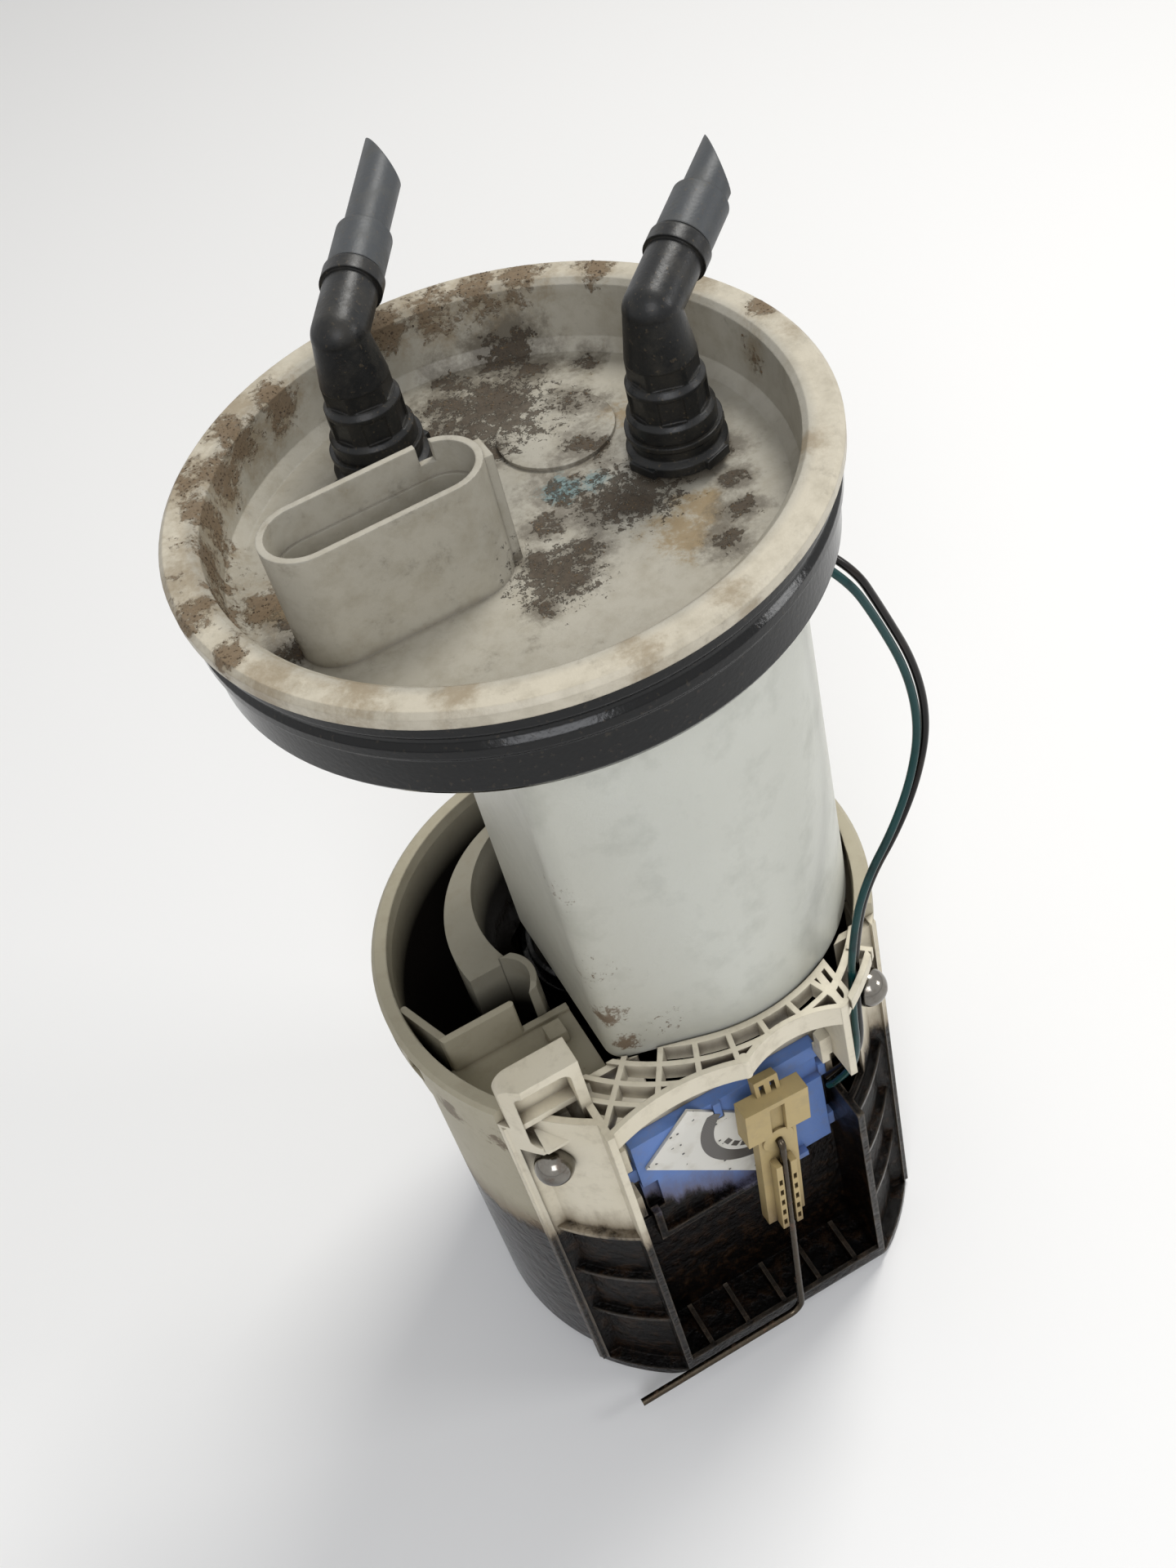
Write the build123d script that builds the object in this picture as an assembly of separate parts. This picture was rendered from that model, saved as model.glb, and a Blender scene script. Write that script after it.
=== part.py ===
from build123d import *
import math
import os

os.makedirs("parts", exist_ok=True)

# All sizes are millimetres. The origin is the centre of the flange's top edge, +Z is up
# towards the hoses, and -Y is the side with the level sender.

# Flange dish
FLANGE_R = 64.0
RIM_EDGE_H = 3.2
DISH_DEPTH = 15.0
FLOOR_T = 3.0
SEAL_R = 62.7
SPIGOT_R = SEAL_R - 3.5
SPIGOT_T = 3.0
DISH_R = SPIGOT_R - 2.9
SPIGOT_DEPTH = 21.5
PAD_R = 12.0
PAD_H = 0.8
PAD_X = 19.2
PAD_Y = 18.7

# Seal ring
SEAL_DEPTH = 22.8

# Electrical socket on the dish floor
SOCKET_X = -25.3
SOCKET_Y = -7.5
SOCKET_L = 43.0
SOCKET_W = 17.0
SOCKET_WALL = 2.0
SOCKET_TOP = 10.0
SOCKET_FLOOR = -9.0
PIN_PITCH = 7.5
PIN_W = 1.5
PIN_T = 0.8
PIN_H = 11.0

# Quick-connect elbows and the cut stubs of hose on them
SUPPLY_X = 35.0
SUPPLY_Y = -3.5
RETURN_X = -13.0
RETURN_Y = 31.0
KNEE_Z = 17.5
NIPPLE_R = 3.95
FIT_GAP = 0.1
COLLAR_R = 9.8
COLLAR_H = 7.0
ELBOW_R = 7.6
ARM_R = 5.4
ARM_L = 15.0
WINDOW_W = 4.8
WINDOW_H = 5.2
WINDOW_DEEP = 2.4
BARB_R = 3.3
BARB_L = 12.0
HOSE_R = 4.5
HOSE_BORE_R = 3.35
HOSE_SWELL_R = 5.6
SUPPLY_AZ = 38.0
SUPPLY_RISE = 12.0
SUPPLY_HOSE_L = 25.0
RETURN_AZ = 54.0
RETURN_RISE = 9.0
RETURN_HOSE_L = 37.0

# Filter canister, the white column under the flange
CAN_X = 12.0
CAN_Y = 0.0
CAN_R = 42.0
CAN_LEFT = -22.0
CAN_BACK = 18.0
CAN_WALL = 2.0
CAN_BOTTOM = -142.0
CAN_CORNER = 5.0
CAN_FLAT_Y = -33.2
CAN_FOOT_R = 3.5
ELEMENT_X = 14.0
ELEMENT_Y = -11.0
PLEAT_R = 25.2

# How far the flange and canister sink into the pot against the spring
TRAVEL = 20.0
SLIDE_GAP = 0.8
SEAM = 0.02

# Swirl pot; its axis stands a little to the left of the flange's
POT_X = -2.0
POT_R = 57.5
POT_WALL = 2.0
POT_RIM_R = POT_R + 2.5
POT_RIM_IN = POT_R - 1.5
POT_TOP = -133.5
POT_RIM_H = 7.0
POT_BAND_H = 20.0
BASE_Z = -260.0
FLOOR_H = 2.5
DECK_Z = -146.0
DECK_T = 2.0
FRONT_WALL_T = 2.5
TRAY_TOP = -134.0
TRAY_T = 1.8
TRAY_LEFT = (0.5 - POT_R, 3.5)
TRAY_BEND = (5.2 - POT_R, -9.8)
TRAY_RIGHT = (-35.5, -9.8)

# Crescent wall and chute in the pot
CUP_X = -3.0
CUP_Y = 9.0
CUP_R = 37.8
CUP_HOLE_R = 31.7
CUP_HOLE_X = 0.0
CUP_HOLE_Y = 14.0
CUP_TOP = -136.0
CUP_RIGHT = -15.0
CUP_FRONT = 3.0
CHUTE_X = -34.5
CHUTE_R = 8.5
CHUTE_T = 1.6

# Sender frame, the cream bracket over the front of the pot
FRAME_R = POT_R + 2.5
FRAME_FRONT = 8.0 - FRAME_R
FRAME_BACK = FRAME_FRONT + 18.0
FRAME_T = 1.8
BAY_HALF = 29.0
SHELF_Z = -138.0
SHELF_T = 5.0
RIB_T = 1.3
CELL = 5.2
CELL_TURN = 10
ARCH_RISE = 3.4
ARCH_MEET = 2.5
BOSS_DEPTH = 3.0
BOSS_H = 9.5
BOSS_UP = 22.0
BOSS_LOW = 0.5
COLLAR_T = 1.6
SHELF_LEFT = -33.0
SHELF_RIGHT = 31.2
WEB_R = FRAME_R - 5.4
SHOULDER_Z = -121.0
SHOULDER_LEFT = 10.6 - FRAME_R
SHOULDER_RIGHT = -31.0
SHOULDER_FRONT = FRAME_BACK - 7.5
SHOULDER_LOW = -147.0
SHOULDER_RIM = 2.6
FIN_X = FRAME_R - 12.8
STRAP_R = FRAME_R - 0.5
STRAP_END_X = 40.3
NOTCH_LOW = -184.5
NOTCH_TOP = -166.0
WELL_Z = -165.0
SILL_H = 5.0
BALL_X = 41.8
BALL_Y = -40.8
BALL_Z = -153.5
BALL_R = 4.7
BALL_SINK = 2.2
STUD_R = 1.6
STUD_TAIL = 1.5

# Level sender
HUB_X = 7.0
HUB_Z = -180.0
BOARD_Y = FRAME_BACK - 6.0
BOARD_T = 0.8
BOARD_W = 19.5
BOARD_L = 40.0
BOARD_DX = -10.0
BOARD_DZ = -4.4
BOARD_TILT = 45.0
TRACK_R = 14.5
TRACK_W = 3.6
INK_T = 0.1
HOUSING_LEFT = POT_X - BAY_HALF + 5
HOUSING_RIGHT = POT_X + BAY_HALF - 2
HOUSING_TOP = -167.0
HOUSING_LOW = -208.0
ROD_R = 1.0
ROD_Y = BOARD_Y - 10.4
ROD_LOW_Y = FRAME_FRONT - 2.2
ROD_LOW_X = 1.0
ROD_LOW_Z = -254.0
ROD_TIP_X = -48.0
ROD_BEND = 4.0
LEVER_GAP = 5.0
LEVER_T = 3.5
LEVER_HALF = 5.2
LEVER_UP = 12.0
LEVER_DOWN = 33.0
EAR_HALF = 8.5
EAR_LOW = 4.0
EAR_HIGH = 16.0
RAIL_T = 1.7
RAIL_TOP = -7.0
RAIL_HOLES = 5
HOLE_PITCH = 4.2
ARM_HALF = 3.2
ARM_TIP_UP = 19.5
ARM_TIP_BACK = 2.6
ARM_THICK = 3.0
SLOT_W = 1.3
HUB_R = 4.2
AXLE_R = 2.2
AXLE_L = 6.6
ROD_INSET = 1.0
ROD_GAP = 0.15
RUN_GAP = 0.05

# Pump behind the sender
PUMP_X = 0.0
PUMP_Y = 30.0
PUMP_R = 18.0
PUMP_WALL = 1.2
PUMP_LOW = -243.0
PUMP_HIGH = -182.0
HEAD_H = 7.0
OUTLET_R = 3.8
OUTLET_TOP = -158.0
SLEEVE_R = 21.0
SLEEVE_LOW = -204.0
SLEEVE_TOP = -174.0
CUP_WALL = 1.8
ARMATURE_R = 11.5
ARMATURE_H = 30.0
SHAFT_R = 1.6
MAGNET_T = 3.2
IMPELLER_R = 14.0
IMPELLER_H = 3.6
HOSE_END_Z = -28.0
DELIVERY_R = 5.4

# Guide rod and spring
GUIDE_X = 38.9
GUIDE_Y = 26.2
GUIDE_R = 3.0
GUIDE_END = -190.0
BUSH_R = 6.0
BUSH_TOP = -150.0
BUSH_H = 24.0
SPRING_R = 6.2
SPRING_WIRE_R = 0.8
SPRING_TOP = -92.0
SPRING_TURNS = 7

# Sender wires
WIRE_R = 0.9
GLAND_X = 45.2
GLAND_Y = -29.3
GLAND_LOW = -27.0
CLIP_X = 34.2
CLIP_Y = -45.6
CLIP_Z = -136.0


def turned(points, x=0.0, y=0.0):
    """Solid of revolution about a vertical axis; points are (radius, height)."""
    outline = Polyline(*[(r, 0, z) for r, z in points], close=True)
    solid = revolve(make_face(outline), axis=Axis.Z)
    return Pos(x, y, 0) * solid


def rod_between(a, b, radius):
    """Round bar from point a to point b."""
    line = Line(a, b)
    section = Plane(origin=a, z_dir=line % 0) * Circle(radius)
    return extrude(section, amount=line.length)


def block(x0, x1, y0, y1, z0, z1):
    """Box between two corners."""
    middle = Pos((x0 + x1) / 2, (y0 + y1) / 2, (z0 + z1) / 2)
    return middle * Box(x1 - x0, y1 - y0, z1 - z0)


def disc(x, y, radius, z0, z1):
    """Upright cylinder between two heights."""
    return Pos(x, y, (z0 + z1) / 2) * Cylinder(radius, z1 - z0)


def pot_disc(radius, z0, z1):
    """Upright cylinder on the pot's axis."""
    return disc(POT_X, 0, radius, z0, z1)


def ring(x, y, outer, inner, z0, z1):
    """Upright tube between two heights."""
    return disc(x, y, outer, z0, z1) - disc(x, y, inner, z0 - 1, z1 + 1)


def pot_ring(outer, inner, z0, z1):
    return ring(POT_X, 0, outer, inner, z0, z1)


def side_block(side, inner, outer, y0, y1, z0, z1):
    """Box on one side of the pot's middle plane; inner and outer are distances from it."""
    a = POT_X + side * inner
    b = POT_X + side * outer
    return block(min(a, b), max(a, b), y0, y1, z0, z1)


def floor_top():
    return -DISH_DEPTH


def floor_under():
    return -DISH_DEPTH - FLOOR_T


def make_flange():
    inner = SPIGOT_R - SPIGOT_T
    dish = turned([
        (0, floor_top()), (DISH_R - 3.2, floor_top()), (DISH_R - 0.9, floor_top() + 2.3),
        (DISH_R, -1.0), (DISH_R + 1.2, 0), (FLANGE_R - 1.0, 0), (FLANGE_R, -1.0),
        (FLANGE_R, -RIM_EDGE_H), (SPIGOT_R, -RIM_EDGE_H), (SPIGOT_R, -SPIGOT_DEPTH),
        (inner, -SPIGOT_DEPTH), (inner, floor_under()), (0, floor_under())])
    pad = disc(PAD_X, PAD_Y, PAD_R, floor_top(), floor_top() + PAD_H)
    dish += pad
    dish += socket_shroud()
    for x, y in ((SUPPLY_X, SUPPLY_Y), (RETURN_X, RETURN_Y)):
        dish += disc(x, y, NIPPLE_R, floor_top(), KNEE_Z - ARM_R - 4)
        dish += disc(x, y, NIPPLE_R + 3, floor_top(), floor_top() + 1.2)
    dish += disc(PUMP_X, PUMP_Y, OUTLET_R - 0.4, HOSE_END_Z, floor_under())
    dish += disc(GUIDE_X, GUIDE_Y, BUSH_R, SPRING_TOP, floor_under())
    dish -= disc(GUIDE_X, GUIDE_Y, GUIDE_R, SPRING_TOP - 1, floor_under() - 4)
    for i in range(4):
        dish -= pin_at(i, FIT_GAP / 2)
    return dish


def socket_shroud():
    height = SOCKET_TOP - floor_top()
    place = Pos(SOCKET_X, SOCKET_Y, floor_top())
    outer = extrude(place * SlotOverall(SOCKET_L, SOCKET_W), amount=height)
    cavity_l = SOCKET_L - 2 * SOCKET_WALL
    cavity_w = SOCKET_W - 2 * SOCKET_WALL
    hollow_at = Pos(SOCKET_X, SOCKET_Y, SOCKET_FLOOR)
    hollow = extrude(hollow_at * SlotOverall(cavity_l, cavity_w), amount=height)
    step_at = Pos(SOCKET_X, SOCKET_Y, SOCKET_TOP - 7)
    step = extrude(step_at * SlotOverall(cavity_l + 1.2, cavity_w + 1.2), amount=height)
    end_x = SOCKET_X + SOCKET_L / 2
    key = block(end_x - 6.5, end_x + 1.2, SOCKET_Y - 3.0, SOCKET_Y + 3.0, floor_top(), SOCKET_TOP - 0.8)
    notch = block(end_x - 9.5, end_x - 6.5, SOCKET_Y + 5, SOCKET_Y + SOCKET_W, SOCKET_TOP - 4, SOCKET_TOP + 1)
    return outer + key - hollow - step - notch


def pin_at(index, grow=0.0):
    x = SOCKET_X + (index - 1.5) * PIN_PITCH
    low = floor_under() + 0.6
    high = SOCKET_FLOOR + PIN_H
    half_w = PIN_W / 2 + grow
    half_t = PIN_T / 2 + grow
    return block(x - half_w, x + half_w, SOCKET_Y - half_t, SOCKET_Y + half_t, low, high)


def make_socket_pins():
    return Compound(children=[pin_at(i) for i in range(4)])


def make_gasket():
    groove = SEAL_R - 0.9
    band = SEAL_R - 1.2
    return turned([
        (SPIGOT_R, -RIM_EDGE_H), (SEAL_R - 0.5, -RIM_EDGE_H), (SEAL_R, -4.4), (SEAL_R, -6.6),
        (groove, -7.8), (groove, -8.8), (SEAL_R, -10.0), (SEAL_R, -12.0), (band, -13.6),
        (band, -21.4), (band - 0.9, -SEAL_DEPTH), (SPIGOT_R, -SEAL_DEPTH)])


def heading(azimuth, rise):
    a = math.radians(azimuth)
    e = math.radians(rise)
    return Vector(math.cos(a) * math.cos(e), math.sin(a) * math.cos(e), math.sin(e))


def make_elbow(x, y, azimuth, rise):
    knee = Vector(x, y, KNEE_Z)
    way = heading(azimuth, rise)
    collar_top = floor_top() + 1.2 + COLLAR_H
    body = turned([
        (0, collar_top + 0.1), (ELBOW_R + 0.9, collar_top + 0.1), (ELBOW_R + 0.9, collar_top + 3),
        (ELBOW_R, collar_top + 4), (ELBOW_R, 3), (ELBOW_R - 0.8, 4), (ELBOW_R - 0.8, 8),
        (ARM_R + 0.6, KNEE_Z - 4), (ARM_R, KNEE_Z), (0, KNEE_Z)], x, y)
    body += Pos(*knee) * Sphere(ARM_R)
    arm_end = knee + way * ARM_L
    body += rod_between(knee, arm_end, ARM_R)
    body += rod_between(knee + way * (ARM_L - 3.2), arm_end, ARM_R + 0.7)
    body += rod_between(arm_end, arm_end + way * BARB_L, BARB_R)
    body -= disc(x, y, NIPPLE_R + FIT_GAP, floor_top(), KNEE_Z - ARM_R - 3.5)
    for side in (0, 60, 120, 180, 240, 300):
        place = Pos(x, y, -0.4) * Rot(0, 0, azimuth + 30 + side) * Pos(ELBOW_R + 0.4, 0, 0)
        body -= place * Box(WINDOW_DEEP, WINDOW_W, WINDOW_H)
    for side in (0, 60, 120, 180, 240, 300):
        body -= Pos(x, y, 6.0) * Rot(0, 0, azimuth + 30 + side) * Pos(2 * ELBOW_R - 1.5, 0, 0) * Box(2 * ELBOW_R, 12, 3.6)
    dimple = way.cross(Vector(0, 0, 1)).normalized() * -ARM_R
    body -= Pos(*(knee + dimple)) * Sphere(1.5)
    return body


def make_collar(x, y):
    low = floor_top() + 1.2
    body = turned([
        (NIPPLE_R + FIT_GAP, low), (COLLAR_R - 0.8, low), (COLLAR_R, low + 0.8),
        (COLLAR_R, low + 2.6), (COLLAR_R - 1.2, low + 3.4), (COLLAR_R - 1.2, low + 5.2),
        (COLLAR_R - 0.4, low + 6.0), (COLLAR_R - 0.4, low + COLLAR_H), (NIPPLE_R + FIT_GAP, low + COLLAR_H)], x, y)
    for k in range(2):
        tab = Pos(x, y, low + 1.7) * Rot(0, 0, 90 * k + 20) * Box(2 * COLLAR_R + 1.2, 6, 1.8)
        body += tab - disc(x, y, COLLAR_R - 1, low, low + COLLAR_H)
    return body


def make_hose_stub(x, y, azimuth, rise, length):
    way = heading(azimuth, rise)
    start = Vector(x, y, KNEE_Z) + way * (ARM_L + 0.1)
    tube = rod_between(start, start + way * length, HOSE_R)
    tube += rod_between(start + way * 0.6, start + way * (BARB_L - 1), HOSE_SWELL_R)
    tube -= rod_between(start - way, start + way * (length + 5), HOSE_BORE_R)
    tip = start + way * (length - HOSE_R)
    side = way.cross(Vector(0, 0, 1)).normalized()
    slope = (way * 0.62 + side * 0.78).normalized()
    return split(tube, bisect_by=Plane(origin=tip, z_dir=slope), keep=Keep.BOTTOM)


def can_flat(shrink):
    """Flat of the canister's front: a tangent from its round part to the left corner."""
    radius = CAN_R - shrink
    dx = CAN_LEFT - CAN_X
    dy = CAN_FLAT_Y - CAN_Y
    away = math.hypot(dx, dy)
    turn = math.atan2(dy, dx) + math.acos(CAN_R / away)
    touch = (CAN_X + radius * math.cos(turn), CAN_Y + radius * math.sin(turn))
    along = (-math.sin(turn), math.cos(turn))
    reach = 2 * CAN_CORNER + math.sqrt(away ** 2 - CAN_R ** 2)
    far = (touch[0] - along[0] * reach, touch[1] - along[1] * reach)
    return make_face(Polyline((CAN_X, CAN_Y), touch, far, (far[0], CAN_Y), close=True))


def can_outline(shrink=0.0):
    """Plan of the canister, pulled in by shrink, or let out where shrink is negative."""
    round_part = Pos(CAN_X, CAN_Y) * Circle(CAN_R - shrink)
    x0 = CAN_LEFT + shrink
    y1 = CAN_BACK - shrink
    keep = Pos((x0 + 80) / 2, (y1 - 60) / 2) * Rectangle(80 - x0, y1 + 60)
    plan = (round_part + can_flat(shrink)) & keep
    corner = max(CAN_CORNER - shrink, 1.0)
    front_left = plan.vertices().sort_by(lambda v: v.X + v.Y)[0]
    back = plan.vertices().sort_by(Axis.Y)[-2:]
    plan = fillet(front_left, corner)
    back_z = [v for v in plan.vertices() if abs(v.Y - y1) < 0.01]
    return fillet(back_z, max(4.0 - shrink, 1.0))


def make_canister():
    top = floor_under()
    body = extrude(Pos(0, 0, CAN_BOTTOM) * can_outline(), amount=top - CAN_BOTTOM)
    body = fillet(body.faces().sort_by(Axis.Z)[0].edges(), CAN_FOOT_R)
    hollow_low = CAN_BOTTOM + CAN_WALL
    body -= extrude(Pos(0, 0, hollow_low) * can_outline(CAN_WALL), amount=top - hollow_low + 1)
    return body


def make_filter_element():
    """Pleated paper ring that stands in the canister."""
    low = CAN_BOTTOM + CAN_WALL
    high = floor_under() - 3
    folds = 36
    points = []
    for k in range(folds):
        for r, step in ((PLEAT_R, 0.0), (PLEAT_R - 6.5, 0.5)):
            a = 2 * math.pi * (k + step) / folds
            points.append((r * math.cos(a), r * math.sin(a)))
    star = make_face(Polyline(*points, close=True))
    pleats = extrude(Pos(ELEMENT_X, ELEMENT_Y, low + 2) * star, amount=high - low - 4)
    pleats -= disc(ELEMENT_X, ELEMENT_Y, 12.0, low, high)
    return pleats


def make_filter_plates():
    low = CAN_BOTTOM + CAN_WALL
    high = floor_under() - 3
    lower = disc(ELEMENT_X, ELEMENT_Y, PLEAT_R + 0.8, low, low + 2)
    upper = ring(ELEMENT_X, ELEMENT_Y, PLEAT_R + 0.8, 8.0, high - 2, high)
    return Compound(children=[lower, upper])


def well():
    """Space the canister sweeps, with its sliding gap."""
    return extrude(Pos(0, 0, WELL_Z) * can_outline(-SLIDE_GAP), amount=WELL_Z * -1)


def front_cut(y):
    """Everything in front of the plane at y."""
    return block(-80, 80, -90, y, BASE_Z - 10, 0)


def make_swirl_pot():
    low = BASE_Z
    wall = turned([
        (0, low), (POT_R - 2.5, low), (POT_R, low + 2.5), (POT_R, POT_TOP - POT_BAND_H - 2),
        (POT_R + 1.0, POT_TOP - POT_BAND_H), (POT_R + 1.0, POT_TOP - POT_RIM_H - 1),
        (POT_RIM_R, POT_TOP - POT_RIM_H), (POT_RIM_R, POT_TOP - 1), (POT_RIM_R - 1, POT_TOP),
        (POT_RIM_IN, POT_TOP), (POT_R - POT_WALL, POT_TOP - 3), (POT_R - POT_WALL, low + FLOOR_H),
        (0, low + FLOOR_H)], POT_X)
    front = FRAME_BACK + SEAM
    wall -= front_cut(front)
    half = math.sqrt((POT_R - 1) ** 2 - front ** 2)
    wall += block(POT_X - half, POT_X + half, front, front + FRONT_WALL_T, low + 1, WELL_Z)
    wall += pot_deck()
    wall += guide_tower()
    wall += ring(PUMP_X, PUMP_Y, SLEEVE_R + CUP_WALL, SLEEVE_R, low + FLOOR_H, SLEEVE_LOW + 12)
    wall -= well()
    for k in range(3):
        turn = 172 + 9 * k
        a = math.radians(turn)
        spot = Pos(POT_X + POT_RIM_R * math.cos(a), POT_RIM_R * math.sin(a), POT_TOP - 4)
        wall -= spot * Rot(0, 0, turn) * Box(2.4, 5.5, 5.0)
    return wall


def pot_deck():
    """Lower deck and the folded tray wall in front of the pot's mouth."""
    inside = pot_disc(POT_R - 1, DECK_Z - DECK_T, TRAY_TOP)
    edge = CAN_LEFT - SLIDE_GAP
    back = TRAY_BEND[1]
    front = FRAME_BACK + SEAM
    deck = block(-80, edge, front, back, DECK_Z - DECK_T, DECK_Z) & inside
    far = block(edge - 3, edge, front, back, DECK_Z - 12, DECK_Z)
    path = offset(Polyline(TRAY_LEFT, TRAY_BEND, TRAY_RIGHT), amount=TRAY_T / 2)
    fold = extrude(Pos(0, 0, DECK_Z - DECK_T) * make_face(path), amount=TRAY_TOP - DECK_Z + DECK_T)
    lug = block(edge - 8.2, edge - 3.7, back - 8.7, back - 4.2, DECK_Z, DECK_Z + 4)
    low_side = block(TRAY_RIGHT[0] - 1, edge, back - TRAY_T / 2, back + TRAY_T / 2, DECK_Z - DECK_T, DECK_Z + 1)
    return deck + far + (fold & inside) + lug + low_side


def guide_tower():
    """Bush for the guide rod, carried by the pot's wall on a web."""
    away = Vector(GUIDE_X - POT_X, GUIDE_Y, 0)
    turn = math.degrees(math.atan2(away.Y, away.X))
    reach = away.length
    low = BUSH_TOP - BUSH_H
    bush = disc(GUIDE_X, GUIDE_Y, BUSH_R, low, BUSH_TOP)
    web_mid = away.normalized() * ((reach + POT_R - 1) / 2)
    place = Pos(POT_X + web_mid.X, web_mid.Y, BUSH_TOP - BUSH_H / 2)
    web = place * Rot(0, 0, turn) * Box(POT_R - 1 - reach, 4, BUSH_H)
    return bush + web - disc(GUIDE_X, GUIDE_Y, GUIDE_R + RUN_GAP, low - 1, BUSH_TOP + 1)


def make_inner_cup():
    """Crescent wall that parts the return flow from the pump's space."""
    low = BASE_Z + FLOOR_H
    wall = disc(CUP_X, CUP_Y, CUP_R, low, CUP_TOP)
    wall -= disc(CUP_HOLE_X, CUP_HOLE_Y, CUP_HOLE_R, low - 1, CUP_TOP + 1)
    edge = CAN_LEFT - SLIDE_GAP - 0.8
    behind = block(-80, CUP_RIGHT, CAN_BACK + 1, 80, BASE_Z, 0)
    wall &= block(-80, edge, CUP_FRONT, 80, BASE_Z, 0) + behind
    wall -= disc(PUMP_X, PUMP_Y, SLEEVE_R + CUP_WALL + 0.5, low - 1, SLEEVE_TOP + 2)
    return wall - well()


def make_chute():
    """Half-pipe that pours the return flow into the pot."""
    y = CUP_FRONT - CHUTE_R + 2
    pipe = ring(CHUTE_X, y, CHUTE_R, CHUTE_R - CHUTE_T, DECK_Z - 10, CUP_TOP + 2.5)
    pipe &= block(CHUTE_X - 1, CHUTE_X + CHUTE_R + 1, y - CHUTE_R - 1, CUP_FRONT - SEAM, BASE_Z, 0)
    lean = Plane(origin=(CHUTE_X, y, CUP_TOP + 1), z_dir=(-0.45, -0.35, 1))
    pipe = split(pipe, bisect_by=lean, keep=Keep.BOTTOM)
    return pipe - block(-80, 80, -80, TRAY_BEND[1] + TRAY_T / 2 + SEAM, BASE_Z, 0)


def frame_plan():
    """Front segment of the pot's circle, cut off flat at the front face."""
    strip = Pos(0, (FRAME_FRONT + FRAME_BACK) / 2) * Rectangle(160, FRAME_BACK - FRAME_FRONT)
    return (Pos(POT_X, 0) * Circle(FRAME_R)) & strip


def slab(z0, z1):
    return extrude(Pos(0, 0, z0) * frame_plan(), amount=z1 - z0)


def make_sender_frame():
    frame = slab(BASE_Z, BASE_Z + FLOOR_H)
    frame += back_plate()
    for side in (-1, 1):
        frame += post(side)
    frame += shoulder()
    frame += lattice_shelf()
    frame += wire_guide()
    frame += sill_and_ribs()
    for boss in snap_bosses():
        frame += boss
    frame -= well()
    for side in (-1, 1):
        frame -= stud_bore(side)
    frame -= wire_notch()
    frame -= front_corners()
    return frame


def back_plate():
    half = math.sqrt(FRAME_R ** 2 - FRAME_BACK ** 2) - 0.5
    top = SHELF_Z - 1
    return block(POT_X - half, POT_X + half, FRAME_BACK - FRAME_T, FRAME_BACK, BASE_Z + 1, top)


def post(side):
    """Open channel beside the bay: inner wall, curved web and outer fin."""
    low = BASE_Z + 1
    wall = side_block(side, BAY_HALF, BAY_HALF + FRAME_T, FRAME_FRONT, FRAME_BACK, low, SHELF_Z)
    zone = side_block(side, BAY_HALF + 0.5, 80, FRAME_FRONT, FRAME_BACK, low, SHELF_Z)
    web = pot_ring(WEB_R + FRAME_T, WEB_R, low, SHELF_Z) & zone
    fin = pot_ring(FRAME_R, WEB_R, low, SHELF_Z)
    fin &= side_block(side, FIN_X, 80, FRAME_BACK - 4, FRAME_BACK, low, SHELF_Z)
    channel = wall + web + fin
    for k in range(1, 4):
        z = BALL_Z - 12 - k * 22
        channel += pot_ring(FRAME_R - 1.5, WEB_R, z, z + RIB_T) & zone
    return channel


def shoulder():
    """Raised ear of the left post, with a pocket and the hook that snaps into the pot."""
    width = SHOULDER_RIGHT - SHOULDER_LEFT
    height = SHOULDER_Z - SHOULDER_LOW
    middle = ((SHOULDER_LEFT + SHOULDER_RIGHT) / 2, (SHOULDER_Z + SHOULDER_LOW) / 2)
    face = Plane(origin=(middle[0], FRAME_BACK, middle[1]), x_dir=(1, 0, 0), z_dir=(0, -1, 0))
    outline = Rectangle(width, height)
    top_left = outline.vertices().sort_by(lambda v: v.X - v.Y)[0]
    outline = fillet(top_left, 4.5)
    inner = Rectangle(width - 2 * SHOULDER_RIM, height - 2 * SHOULDER_RIM)
    inner = fillet(inner.vertices(), 2.5)
    depth = FRAME_BACK - SHOULDER_FRONT
    ear = extrude(face * outline, amount=depth)
    pocket = extrude(Pos(0, -FRAME_T, 0) * (face * inner), amount=depth)
    ear -= pocket
    left = SHOULDER_LEFT + SHOULDER_RIM
    right = SHOULDER_RIGHT - SHOULDER_RIM
    bar_z = SHOULDER_Z - 15
    ear += block(left, right, SHOULDER_FRONT + 2.5, FRAME_BACK, bar_z - 2, bar_z)
    hook = block(left + 2, right - 2.5, SHOULDER_FRONT - 1, FRAME_BACK, SHOULDER_LOW + 1, SHOULDER_LOW + 5)
    slope = Plane(origin=(left, SHOULDER_FRONT - 1, SHOULDER_LOW + 2), z_dir=(0, -0.6, 1))
    ear += split(hook, bisect_by=slope, keep=Keep.BOTTOM)
    rounding = pot_disc(FRAME_R, SHOULDER_LOW - 1, SHOULDER_Z + 1)
    return ear & rounding


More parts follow.
